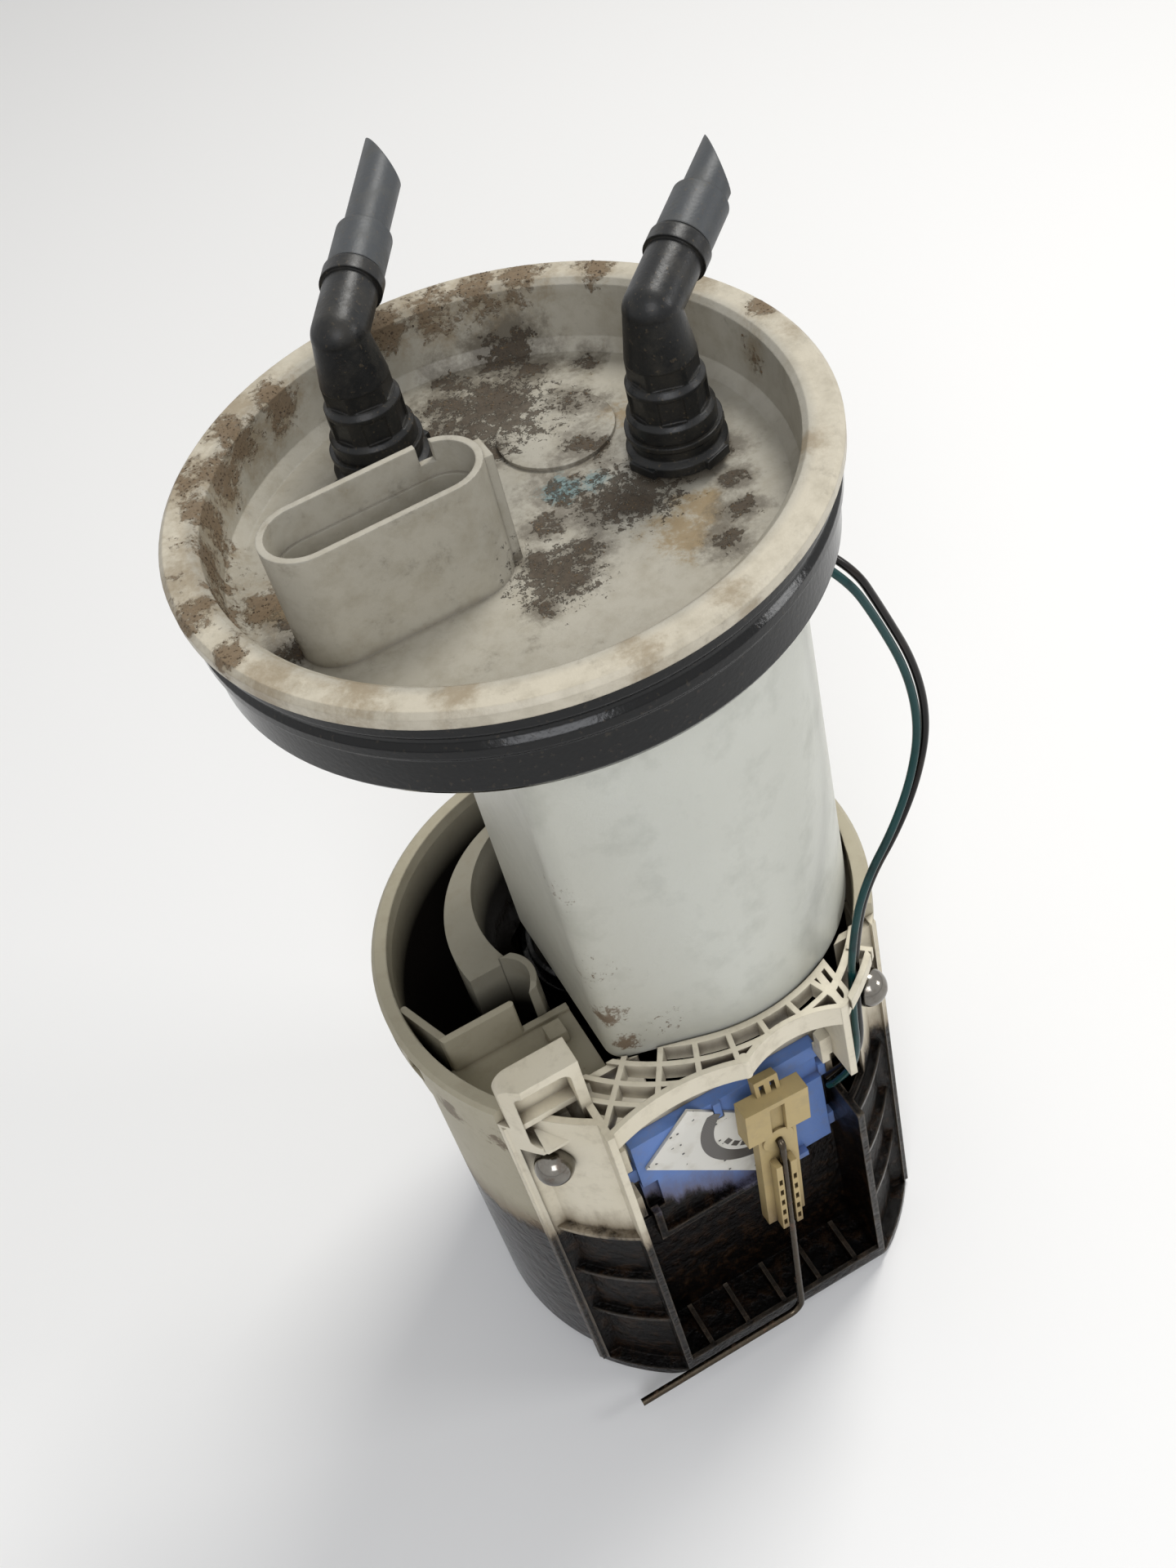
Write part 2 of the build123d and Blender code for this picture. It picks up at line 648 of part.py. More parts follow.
def lattice_shelf():
    """Ribbed shelf that hugs the canister, with rings about the canister's axis."""
    low = SHELF_Z - SHELF_T
    zone = slab(low, SHELF_Z) & block(SHELF_LEFT, SHELF_RIGHT, FRAME_FRONT, FRAME_BACK, low, SHELF_Z)
    inner = CAN_R + SLIDE_GAP
    grid = ring(CAN_X, CAN_Y, inner + COLLAR_T, CAN_R, low, SHELF_Z) & zone
    for k in range(1, 4):
        r = inner + CELL * k
        grid += ring(CAN_X, CAN_Y, r + RIB_T, r, low, SHELF_Z) & zone
    for k in range(14):
        turn = 198 + CELL_TURN * k
        a = math.radians(turn)
        mid = inner + 14
        spot = Pos(CAN_X + mid * math.cos(a), CAN_Y + mid * math.sin(a), SHELF_Z - SHELF_T / 2)
        grid += (spot * Rot(0, 0, turn) * Box(29, RIB_T, SHELF_T)) & zone
    for x0, x1 in ((SHELF_LEFT, ARCH_MEET), (ARCH_MEET, SHELF_RIGHT - 4)):
        grid -= lip_circle(x0, x1, 0, low - 2, SHELF_Z + 1)
        lip = lip_circle(x0, x1, RIB_T, low - 1.5, SHELF_Z) - lip_circle(x0, x1, 0, low - 2, SHELF_Z + 1)
        grid += lip & block(x0, x1, FRAME_FRONT, FRAME_BACK, low - 2, SHELF_Z)
    grid += disc(ARCH_MEET, FRAME_FRONT + RIB_T, RIB_T, low - 1.5, SHELF_Z)
    return grid


def lip_circle(x0, x1, grow, low, high):
    """Round cut-out whose edge bows the shelf's front lip back between two points."""
    half = (x1 - x0) / 2
    radius = (half ** 2 + ARCH_RISE ** 2) / (2 * ARCH_RISE)
    return disc((x0 + x1) / 2, FRAME_FRONT + ARCH_RISE - radius, radius + grow, low, high)


def snap_bosses():
    """Square bosses on the bay's walls, in front of the sender's carrier."""
    left = POT_X - BAY_HALF
    right = POT_X + BAY_HALF
    group = []
    for up in (BOSS_UP, BOSS_LOW):
        z = HUB_Z + up
        group.append(block(left - 0.5, left + BOSS_DEPTH, BOARD_Y - 4, BOARD_Y + 0.5, z - BOSS_H, z))
    z = HUB_Z + BOSS_UP - 1
    group.append(block(right - BOSS_DEPTH, right + 0.5, BOARD_Y - 4, BOARD_Y + 0.5, z - BOSS_H, z))
    return group


def wire_guide():
    """Rounded end of the shelf and the strap that keeps the two wires in the post's channel."""
    low = SHELF_Z - SHELF_T
    corner_x = SHELF_RIGHT - 4
    corner_y = FRAME_FRONT + 4
    end = ring(corner_x, corner_y, 4, 4 - RIB_T, low, SHELF_Z)
    end &= block(corner_x, 80, -80, corner_y, low, SHELF_Z)
    side = block(SHELF_RIGHT - RIB_T, SHELF_RIGHT, corner_y, FRAME_BACK, low, SHELF_Z)
    low = SHELF_Z - 3
    high = SHELF_Z + 0.5
    strap = pot_ring(STRAP_R + 1.5, STRAP_R, low, high)
    strap &= block(SHELF_RIGHT - RIB_T, STRAP_END_X, -80, FRAME_BACK, low, high)
    turn = math.degrees(math.atan2(-math.sqrt(STRAP_R ** 2 - (STRAP_END_X - POT_X) ** 2), STRAP_END_X - POT_X))
    rib = Pos(POT_X, 0, (low + high) / 2) * Rot(0, 0, turn) * Pos((STRAP_R + WEB_R) / 2 + 1, 0)
    rib = rib * Box(STRAP_R - WEB_R + 1, RIB_T, high - low)
    return end + side + strap + rib


def wire_notch():
    """Opening in the bay's right wall where the wires turn in to the sender."""
    wall = POT_X + BAY_HALF
    return block(wall - 1, wall + 8, FRAME_FRONT - 1, BOARD_Y + 1.5, NOTCH_LOW, NOTCH_TOP)


def sill_and_ribs():
    """Raised sill along the bay's foot with cross ribs behind it."""
    low = BASE_Z + 1
    top = BASE_Z + FLOOR_H + SILL_H
    group = side_block(-1, -BAY_HALF - 1, BAY_HALF + 1, FRAME_FRONT, FRAME_FRONT + RIB_T, low, top)
    count = 5
    pitch = 2 * BAY_HALF / (count + 0.2)
    for k in range(count):
        x = POT_X - BAY_HALF + pitch * (k + 0.6)
        group += block(x - RIB_T / 2, x + RIB_T / 2, FRAME_FRONT, FRAME_FRONT + 14, low, top)
    return group


def front_corners():
    """Rounds the foot of the front face."""
    cut = block(-80, 80, FRAME_FRONT - 1, FRAME_FRONT + 4, BASE_Z - 1, BASE_Z + 4)
    return cut - Pos(0, FRAME_FRONT + 4, BASE_Z + 4) * Rot(0, 90, 0) * Cylinder(4, 200)


def stud_way(side):
    return Vector(side * BALL_X, BALL_Y, 0).normalized()


def stud_point(side, distance):
    """Point on a stud's axis, at a distance from the pot's axis."""
    return stud_way(side) * distance + Vector(POT_X, 0, BALL_Z)


def stud_bore(side):
    return rod_between(stud_point(side, WEB_R - 4), stud_point(side, FRAME_R + 3), STUD_R + SEAM)


def ball_stud(side):
    """One ball-headed stud, turned about its own axis and set on the frame's web."""
    shank = FRAME_T + STUD_TAIL
    foot = math.sqrt(BALL_R ** 2 - BALL_SINK ** 2)
    half = math.sqrt(0.5) * BALL_R
    tip = (0, 0, BALL_SINK + BALL_R)
    side_line = Polyline(tip, (0, 0, -shank), (STUD_R, 0, -shank), (STUD_R, 0, 0), (foot, 0, 0))
    dome = ThreePointArc((foot, 0, 0), (half, 0, BALL_SINK + half), tip)
    stud = revolve(make_face(side_line.edges() + dome.edges()), axis=Axis.Z)
    return Plane(origin=stud_point(side, WEB_R + FRAME_T), z_dir=stud_way(side)) * stud


def make_ball_studs():
    """Ball-headed steel studs that hold the frame to the pot."""
    return Compound(children=[ball_stud(-1), ball_stud(1)])


def make_sender_housing():
    """Blue carrier that slides into the bay and holds the board."""
    back = FRAME_BACK - FRAME_T - SEAM
    face = BOARD_Y + BOARD_T
    body = block(HOUSING_LEFT, HOUSING_RIGHT, face, back, HOUSING_LOW, HOUSING_TOP)
    body -= block(HOUSING_RIGHT - 9, HOUSING_RIGHT + 1, face - 1, back - 1.5, HOUSING_TOP - 14, HOUSING_TOP - 5)
    body -= block(HOUSING_LEFT - 1, HOUSING_LEFT + 4, face - 1, back - 1.5, HOUSING_TOP - 30, HOUSING_TOP - 18)
    for z in (HOUSING_TOP - 13, HOUSING_TOP - 36):
        left = POT_X - BAY_HALF + SEAM
        right = POT_X + BAY_HALF - SEAM
        body += block(left, HOUSING_LEFT, back - 2.5, back, z - 2.5, z + 2.5)
        body += block(HOUSING_RIGHT, right, back - 2.5, back, z - 2.5, z + 2.5)
    body += block(HOUSING_LEFT, HOUSING_RIGHT - 8, face - 2.2, face, HOUSING_LOW, HOUSING_LOW + 2)
    body += block(HOUSING_LEFT, HOUSING_LEFT + 2, face - 2.2, face, HOUSING_LOW, HOUSING_LOW + 13)
    body += block(HUB_X - 11, HUB_X - 9, BOARD_Y, face, HUB_Z + 7, HOUSING_TOP)
    body += rod_between((HUB_X, back, HUB_Z), (HUB_X, BOARD_Y - AXLE_L, HUB_Z), AXLE_R)
    return body


def on_board(shape, y_face, thick):
    """Stand a sketch up on the board's face, centred on the hub, and give it thickness."""
    plane = Plane(origin=(HUB_X, y_face, HUB_Z), x_dir=(1, 0, 0), z_dir=(0, -1, 0))
    return extrude(plane * shape, amount=thick)


def make_resistor_board():
    """Ceramic plate turned in its plane so that the track faces the wiper's sweep."""
    plate = Pos(BOARD_DX, BOARD_DZ) * Rot(0, 0, -BOARD_TILT) * Rectangle(BOARD_L, BOARD_W)
    plate -= Circle(AXLE_R + 0.4)
    finger = Pos(-10, 12) * Rectangle(2.6, 11)
    return on_board(plate - finger, BOARD_Y + BOARD_T, BOARD_T)


def make_resistor_track():
    """Printed arc about the hub, with a row of square pads inside it."""
    arc = Circle(TRACK_R + TRACK_W / 2) - Circle(TRACK_R - TRACK_W / 2)
    plate = Pos(BOARD_DX, BOARD_DZ) * Rot(0, 0, -BOARD_TILT) * Rectangle(BOARD_L - 4, BOARD_W - 1)
    sector = Pos(HUB_R - BOARD_L, -BOARD_W / 2) * Rectangle(2 * BOARD_L, 2 * BOARD_W)
    ink = arc & plate & sector
    inside = TRACK_R - TRACK_W / 2 - 2.2
    for turn in (205, 222, 238):
        ink += (Rot(0, 0, turn) * Pos(inside, 0) * Rectangle(1.6, 2.0)) & plate
    return on_board(ink, BOARD_Y, INK_T)


def lever_turn():
    """The lever hangs along the float rod: it leans left and, towards its foot, outwards."""
    left = math.degrees(math.atan2(HUB_X - ROD_LOW_X, HUB_Z - ROD_LOW_Z))
    out = math.degrees(math.atan2(ROD_Y - ROD_LOW_Y, HUB_Z - ROD_LOW_Z))
    return Pos(HUB_X, ROD_Y, HUB_Z) * Rot(0, left, 0) * Rot(-out, 0, 0)


def lever_back():
    """Back face of the lever, measured from the rod's plane."""
    return BOARD_Y - LEVER_GAP - ROD_Y


def lever_arm():
    """Arm above the ears that leans back to the carrier, with two slots in its face."""
    low = Vector(0, lever_back() - LEVER_T / 2, LEVER_UP - 1)
    high = Vector(0, BOARD_Y - ARM_TIP_BACK - ARM_THICK / 2 - ROD_Y, ARM_TIP_UP)
    way = high - low
    place = Plane(origin=(low + high) / 2, x_dir=(1, 0, 0), z_dir=way.normalized())
    arm = place * Box(2 * ARM_HALF, ARM_THICK, way.length)
    for side in (-1, 1):
        slot_x = side * (ARM_HALF / 2 - SLOT_W / 8)
        arm -= place * Pos(slot_x, ARM_THICK / 2, 0) * Box(SLOT_W, ARM_THICK, way.length - 2 * SLOT_W)
        arm -= place * Pos(slot_x, -ARM_THICK / 2, 0) * Box(SLOT_W, ARM_THICK, way.length - 2 * SLOT_W)
    return arm


def make_wiper_holder():
    """Lever with a hub on the axle and two rails that clip the float rod."""
    back = lever_back()
    face = back - LEVER_T
    front = -ROD_R - ROD_GAP
    lever = block(-LEVER_HALF, LEVER_HALF, face, back, -LEVER_DOWN, LEVER_UP)
    lever += block(-EAR_HALF, EAR_HALF, face - RAIL_T, back, EAR_LOW, EAR_HIGH)
    lever -= block(-ROD_R * 2, ROD_R * 2, face - 2 * RAIL_T, face, EAR_LOW - 1, EAR_HIGH - RAIL_T)
    lever += lever_arm()
    for side in (-1, 1):
        inner = side * (ROD_R + ROD_GAP)
        outer = side * (ROD_R + ROD_GAP + RAIL_T)
        lever += block(min(inner, outer), max(inner, outer), front, face + 0.5, -LEVER_DOWN, RAIL_TOP)
        hole = sorted((inner + side * 0.4, outer - side * 0.4))
        for k in range(RAIL_HOLES):
            z = -LEVER_DOWN + RAIL_T + k * HOLE_PITCH
            lever -= block(hole[0], hole[1], front - 1, front + 1, z, z + HOLE_PITCH / 2)
    lever = lever_turn() * lever
    near = BOARD_Y - LEVER_GAP + 3
    lever += rod_between((HUB_X, near, HUB_Z), (HUB_X, BOARD_Y - AXLE_L - 2.4, HUB_Z), HUB_R)
    lever -= rod_between((HUB_X, near + 1, HUB_Z), (HUB_X, BOARD_Y - AXLE_L - 0.4, HUB_Z), AXLE_R + RUN_GAP)
    rod_start = BOARD_Y - AXLE_L - ROD_INSET
    lever -= rod_between((HUB_X, rod_start, HUB_Z), (HUB_X, ROD_Y - 2, HUB_Z), ROD_R)
    low = Vector(ROD_LOW_X, ROD_LOW_Y, ROD_LOW_Z)
    return lever - rod_between((HUB_X, ROD_Y, HUB_Z), low, ROD_R + ROD_GAP)


def make_wiper_contacts():
    """Sprung contact strip behind the lever, a hair off the track below the hub."""
    back = BOARD_Y - LEVER_GAP
    z = HUB_Z - TRACK_R
    strip = block(HUB_X - 2, HUB_X + 2, back - 1, BOARD_Y - 3.2, z - 1, HUB_Z - HUB_R - 1)
    fingers = block(HUB_X - 1.6, HUB_X - 0.4, back - 1, BOARD_Y - 0.4, z - 1, z + 0.6)
    fingers += block(HUB_X + 0.4, HUB_X + 1.6, back - 1, BOARD_Y - 0.4, z - 1, z + 0.6)
    return (strip + fingers) - lever_turn() * block(-20, 20, -20, lever_back() + SEAM, -LEVER_DOWN, EAR_HIGH)


def make_float_rod():
    """Steel wire from the hub down the lever and across the foot of the frame."""
    start = BOARD_Y - AXLE_L - ROD_INSET
    points = [
        (HUB_X, start, HUB_Z), (HUB_X, ROD_Y, HUB_Z),
        (ROD_LOW_X, ROD_LOW_Y, ROD_LOW_Z), (ROD_TIP_X, ROD_LOW_Y, ROD_LOW_Z)]
    path = FilletPolyline(*points, radius=[1.5, ROD_BEND])
    section = Plane(origin=path @ 0, z_dir=path % 0) * Circle(ROD_R)
    return sweep(section, path=path)


def make_pump_casing():
    return ring(PUMP_X, PUMP_Y, PUMP_R, PUMP_R - PUMP_WALL, PUMP_LOW, PUMP_HIGH)


def make_outlet_head():
    body = turned([
        (0, PUMP_HIGH), (PUMP_R, PUMP_HIGH), (PUMP_R, PUMP_HIGH + 3), (PUMP_R - 3, PUMP_HIGH + HEAD_H),
        (OUTLET_R, PUMP_HIGH + HEAD_H + 1), (OUTLET_R, OUTLET_TOP), (0, OUTLET_TOP)], PUMP_X, PUMP_Y)
    return body - disc(PUMP_X, PUMP_Y, SHAFT_R + RUN_GAP, PUMP_HIGH - 1, PUMP_HIGH + 3)


def make_inlet_head():
    body = disc(PUMP_X, PUMP_Y, PUMP_R, PUMP_LOW - HEAD_H, PUMP_LOW)
    body -= disc(PUMP_X, PUMP_Y, SHAFT_R + RUN_GAP, PUMP_LOW - 3, PUMP_LOW + 1)
    return body


def make_pump_shaft():
    return disc(PUMP_X, PUMP_Y, SHAFT_R, PUMP_LOW - 2.5, PUMP_HIGH + 2.5)


def make_armature():
    low = (PUMP_LOW + PUMP_HIGH) / 2 - ARMATURE_H / 2
    body = ring(PUMP_X, PUMP_Y, ARMATURE_R, SHAFT_R, low, low + ARMATURE_H)
    for k in range(8):
        a = math.radians(45 * k)
        slot = Pos(PUMP_X + ARMATURE_R * math.cos(a), PUMP_Y + ARMATURE_R * math.sin(a), low + ARMATURE_H / 2)
        body -= slot * Rot(0, 0, 45 * k) * Box(5, 1.6, ARMATURE_H + 1)
    body += ring(PUMP_X, PUMP_Y, 6.5, SHAFT_R, low + ARMATURE_H, low + ARMATURE_H + 7)
    return body


def make_impeller():
    low = PUMP_LOW + 1
    body = ring(PUMP_X, PUMP_Y, IMPELLER_R, SHAFT_R, low, low + IMPELLER_H)
    for k in range(24):
        a = math.radians(15 * k)
        notch = Pos(PUMP_X + IMPELLER_R * math.cos(a), PUMP_Y + IMPELLER_R * math.sin(a), low + IMPELLER_H / 2)
        body -= notch * Rot(0, 0, 15 * k) * Box(4, 1.8, IMPELLER_H + 1)
    return body


def make_magnets():
    low = (PUMP_LOW + PUMP_HIGH) / 2 - ARMATURE_H / 2 - 2
    high = low + ARMATURE_H + 4
    outer = PUMP_R - PUMP_WALL
    shell = ring(PUMP_X, PUMP_Y, outer, outer - MAGNET_T, low, high)
    gap = block(PUMP_X - 5, PUMP_X + 5, PUMP_Y - 30, PUMP_Y + 30, low - 1, high + 1)
    return shell - gap


def make_brushes():
    top = PUMP_HIGH
    parts = []
    for side in (-1, 1):
        x0 = PUMP_X + side * 6.8
        x1 = PUMP_X + side * 14.0
        parts.append(block(min(x0, x1), max(x0, x1), PUMP_Y - 2.5, PUMP_Y + 2.5, top - 8, top))
    return Compound(children=parts)


def make_pump_sleeve():
    """Ribbed rubber sleeve that keeps the pump's hum out of the pot."""
    pitch = 6.0
    points = [(PUMP_R, SLEEVE_LOW)]
    z = SLEEVE_LOW
    while z < SLEEVE_TOP - pitch / 2:
        points.append((SLEEVE_R, z))
        points.append((SLEEVE_R, z + pitch / 2))
        points.append((SLEEVE_R - 1.6, z + pitch / 2))
        points.append((SLEEVE_R - 1.6, z + pitch))
        z += pitch
    points.append((PUMP_R, z))
    body = turned(points, PUMP_X, PUMP_Y)
    return body - disc(PUMP_X, PUMP_Y, PUMP_R, PUMP_HIGH - 1, SLEEVE_TOP + 5)


def make_strainer():
    low = BASE_Z + FLOOR_H
    return disc(PUMP_X, PUMP_Y, PUMP_R - 1, low, PUMP_LOW - HEAD_H)


def make_delivery_hose():
    """Convoluted hose from the pump to the flange; it shortens as the flange sinks."""
    low = OUTLET_TOP - 12
    high = HOSE_END_Z + 9
    cuff = 12.0
    points = [(OUTLET_R, low), (DELIVERY_R - 0.4, low), (DELIVERY_R - 0.4, low + cuff)]
    count = 22
    pitch = (high - low - 2 * cuff) / count
    for k in range(count):
        z = low + cuff + pitch * k
        points.append((DELIVERY_R - 0.4, z + 0.2 * pitch))
        points.append((DELIVERY_R + 1.0, z + 0.5 * pitch))
        points.append((DELIVERY_R - 0.4, z + 0.8 * pitch))
    points.append((DELIVERY_R - 0.4, high))
    points.append((OUTLET_R, high))
    return turned(points, PUMP_X, PUMP_Y)


def make_hose_clip(low):
    """Band clip with its ear, round an end of the delivery hose."""
    band = ring(PUMP_X, PUMP_Y, DELIVERY_R + 0.5, DELIVERY_R - 0.4, low, low + 5)
    ear_x = PUMP_X + DELIVERY_R
    return band + block(ear_x, ear_x + 3, PUMP_Y - 1.5, PUMP_Y + 1.5, low, low + 5)


def make_guide_rod():
    top = floor_under() - 4
    return disc(GUIDE_X, GUIDE_Y, GUIDE_R, GUIDE_END, top)


def make_rod_clip():
    """Ring under the bush that stops the flange from lifting out."""
    top = BUSH_TOP - BUSH_H - 0.3
    return ring(GUIDE_X, GUIDE_Y, GUIDE_R + 2.2, GUIDE_R, top - 1.5, top)


def make_spring():
    low = BUSH_TOP + SPRING_WIRE_R
    high = SPRING_TOP - SPRING_WIRE_R
    pitch = (high - low) / SPRING_TURNS
    path = Helix(pitch=pitch, height=high - low, radius=SPRING_R - SPRING_WIRE_R)
    section = Plane(origin=path @ 0, z_dir=path % 0) * Circle(SPRING_WIRE_R)
    coil = sweep(section, path=path)
    return Pos(GUIDE_X, GUIDE_Y, low) * coil


def make_wire_gland():
    """Black plug where the two sender wires leave the flange, beside the canister."""
    turn = math.degrees(math.atan2(GLAND_Y, GLAND_X))
    spot = Pos(GLAND_X, GLAND_Y, (floor_under() + GLAND_LOW) / 2)
    return spot * Rot(0, 0, turn) * Box(3.6, 9.0, floor_under() - GLAND_LOW)


def bend_radii(points):
    """Radius at each inner point: 0.45 of the shorter run over tan(half the turn)."""
    radii = []
    for before, here, after in zip(points, points[1:], points[2:]):
        way_in = Vector(*here) - Vector(*before)
        way_out = Vector(*after) - Vector(*here)
        turn = math.radians(way_in.get_angle(way_out))
        radii.append(0.45 * min(way_in.length, way_out.length) / math.tan(turn / 2))
    return radii


def cord(name, points, radius):
    path = FilletPolyline(*points, radius=bend_radii(points))
    section = Plane(origin=path @ 0, z_dir=path % 0) * Circle(radius)
    body = sweep(section, path=path)
    ideal = math.pi * radius ** 2 * path.length
    least = min(bend_radii(points))
    print(f"{name}: length {path.length:.1f} mm, least bend {least:.1f} mm, volume/ideal {body.volume / ideal:.4f}")
    return body


# Sender wires: a free loop from the flange to the frame, then a fixed tail down the post
LOOP_GREEN = [
    (GLAND_X - 1.0, GLAND_Y - 1.6, GLAND_LOW - 0.7), (50.6, -34.0, -34.5), (56.0, -35.0, -48.8),
    (61.0, -36.0, -65.6), (61.4, -38.0, -80.0), (57.3, -40.0, -91.8), (50.4, -42.0, -102.2),
    (41.9, -43.5, -111.5), (36.5, -44.8, -123.5), (CLIP_X, CLIP_Y, CLIP_Z)]
LOOP_BLACK = [
    (GLAND_X + 0.9, GLAND_Y + 1.4, GLAND_LOW - 0.7), (52.6, -32.8, -33.0), (57.7, -34.2, -47.6),
    (63.1, -35.8, -64.9), (63.6, -37.9, -80.3), (59.0, -39.7, -93.3), (51.9, -41.4, -103.8),
    (43.5, -42.5, -112.8), (38.6, -43.2, -124.2), (CLIP_X + 2.4, CLIP_Y + 2.04, CLIP_Z)]
TAIL_GREEN = [
    (CLIP_X, CLIP_Y, CLIP_Z - 0.1), (32.4, -47.0, -149.0), (31.9, -47.3, -167.0),
    (29.0, -45.0, -176.8), (25.9, -40.9, -183.8)]
TAIL_BLACK = [
    (CLIP_X + 2.4, CLIP_Y + 2.04, CLIP_Z - 0.1), (34.5, -45.3, -149.0), (34.1, -45.6, -166.0),
    (31.2, -43.0, -175.2), (26.2, -39.9, -181.5)]

NODES = {
    "flange": make_flange,
    "gasket": make_gasket,
    "socket_pins": make_socket_pins,
    "supply_elbow": lambda: make_elbow(SUPPLY_X, SUPPLY_Y, SUPPLY_AZ, SUPPLY_RISE),
    "return_elbow": lambda: make_elbow(RETURN_X, RETURN_Y, RETURN_AZ, RETURN_RISE),
    "supply_collar": lambda: make_collar(SUPPLY_X, SUPPLY_Y),
    "return_collar": lambda: make_collar(RETURN_X, RETURN_Y),
    "supply_hose_stub": lambda: make_hose_stub(SUPPLY_X, SUPPLY_Y, SUPPLY_AZ, SUPPLY_RISE, SUPPLY_HOSE_L),
    "return_hose_stub": lambda: make_hose_stub(RETURN_X, RETURN_Y, RETURN_AZ, RETURN_RISE, RETURN_HOSE_L),
    "filter_canister": make_canister,
    "filter_element": make_filter_element,
    "filter_end_plates": make_filter_plates,
    "swirl_pot": make_swirl_pot,
    "inner_cup": make_inner_cup,
    "return_chute": make_chute,
    "sender_frame": make_sender_frame,
    "ball_studs": make_ball_studs,
    "sender_housing": make_sender_housing,
    "resistor_board": make_resistor_board,
    "resistor_track": make_resistor_track,
    "wiper_holder": make_wiper_holder,
    "wiper_contacts": make_wiper_contacts,
    "float_rod": make_float_rod,
    "pump_casing": make_pump_casing,
    "pump_outlet_head": make_outlet_head,
    "pump_inlet_head": make_inlet_head,
    "pump_shaft": make_pump_shaft,
    "pump_armature": make_armature,
    "pump_impeller": make_impeller,
    "pump_magnets": make_magnets,
    "pump_brushes": make_brushes,
    "pump_sleeve": make_pump_sleeve,
    "pump_strainer": make_strainer,
    "delivery_hose": make_delivery_hose,
    "hose_clip_pump": lambda: make_hose_clip(OUTLET_TOP - 9),
    "hose_clip_flange": lambda: make_hose_clip(HOSE_END_Z + 1),
    "guide_rod": make_guide_rod,
    "guide_rod_clip": make_rod_clip,
    "suspension_spring": make_spring,
    "wire_gland": make_wire_gland,
    "wire_loop_green": lambda: cord("wire_loop_green", LOOP_GREEN, WIRE_R),
    "wire_loop_black": lambda: cord("wire_loop_black", LOOP_BLACK, WIRE_R),
    "wire_tail_green": lambda: cord("wire_tail_green", TAIL_GREEN, WIRE_R),
    "wire_tail_black": lambda: cord("wire_tail_black", TAIL_BLACK, WIRE_R),
}

for name, make in NODES.items():
    export_step(make(), f"parts/{name}.step")
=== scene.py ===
# %% [markdown]
# An in-tank fuel delivery unit in Blender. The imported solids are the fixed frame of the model:
# they hold the true sizes, so this script gives each of them its finish and adds what is too
# fine or too soft for them. All lengths are in metres and +Z is up.

# %% Load the fixed frame
import bpy
import math
from mathutils import Matrix, Vector


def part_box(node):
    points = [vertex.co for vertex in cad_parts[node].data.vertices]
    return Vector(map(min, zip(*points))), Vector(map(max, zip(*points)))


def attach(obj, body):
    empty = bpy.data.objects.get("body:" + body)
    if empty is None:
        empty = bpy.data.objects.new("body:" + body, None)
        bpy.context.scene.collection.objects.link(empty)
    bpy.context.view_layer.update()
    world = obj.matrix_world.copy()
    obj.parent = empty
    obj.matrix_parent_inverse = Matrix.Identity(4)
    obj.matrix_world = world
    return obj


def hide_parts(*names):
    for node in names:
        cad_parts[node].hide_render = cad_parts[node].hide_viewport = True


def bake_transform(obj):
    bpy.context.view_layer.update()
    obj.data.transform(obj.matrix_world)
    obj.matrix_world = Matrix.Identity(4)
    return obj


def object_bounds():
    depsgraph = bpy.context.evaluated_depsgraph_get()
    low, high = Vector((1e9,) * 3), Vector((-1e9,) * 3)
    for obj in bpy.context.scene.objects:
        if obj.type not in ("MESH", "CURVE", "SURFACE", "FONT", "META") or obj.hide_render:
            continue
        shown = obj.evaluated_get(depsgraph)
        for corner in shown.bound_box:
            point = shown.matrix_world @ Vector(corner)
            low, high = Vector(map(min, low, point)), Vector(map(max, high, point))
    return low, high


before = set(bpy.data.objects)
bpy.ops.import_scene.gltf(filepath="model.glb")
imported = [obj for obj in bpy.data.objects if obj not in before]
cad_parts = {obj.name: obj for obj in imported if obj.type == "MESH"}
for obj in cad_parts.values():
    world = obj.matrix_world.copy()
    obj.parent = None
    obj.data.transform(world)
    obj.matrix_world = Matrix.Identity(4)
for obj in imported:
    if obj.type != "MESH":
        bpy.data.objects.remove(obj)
cad_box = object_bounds()
MM = 0.001
PER_M = 1000  # A noise scale of PER_M / 5 gives a pattern about 5 mm wide.

# %% [markdown]
# The camera stands where the photograph was taken: in front of the level sender, a little to
# its left and high up, so that it looks down into the flange. The picture is also rolled.
# A camera is three axes and a place, so its matrix is built from those angles, in radians.

# %% Camera
AZIMUTH = math.radians(-15.5)
ELEVATION = 0.821584
ROLL = -0.285245
CAMERA_PLACE = Vector((-0.07209, -0.26002, 0.19957))
LONG_SIDE_PX = 1920
FOCAL_PX = 2211.73
FILM_MM = 36.0

back = Vector((
    math.sin(AZIMUTH) * math.cos(ELEVATION),
    -math.cos(AZIMUTH) * math.cos(ELEVATION),
    math.sin(ELEVATION)))
level_right = Vector((math.cos(AZIMUTH), math.sin(AZIMUTH), 0))
level_up = back.cross(level_right)
right = math.cos(ROLL) * level_right + math.sin(ROLL) * level_up
up = math.cos(ROLL) * level_up - math.sin(ROLL) * level_right
camera_data = bpy.data.cameras.new("photo_camera")
camera_data.sensor_fit = "VERTICAL"
camera_data.sensor_height = FILM_MM
camera_data.lens = FOCAL_PX / LONG_SIDE_PX * FILM_MM
camera_data.clip_start = 10 * MM
camera = bpy.data.objects.new("photo_camera", camera_data)
camera.matrix_world = Matrix.Translation(CAMERA_PLACE) @ Matrix((right, up, back)).transposed().to_4x4()
bpy.context.scene.collection.objects.link(camera)
bpy.context.scene.camera = camera
print("lens", round(camera_data.lens, 2), "mm")

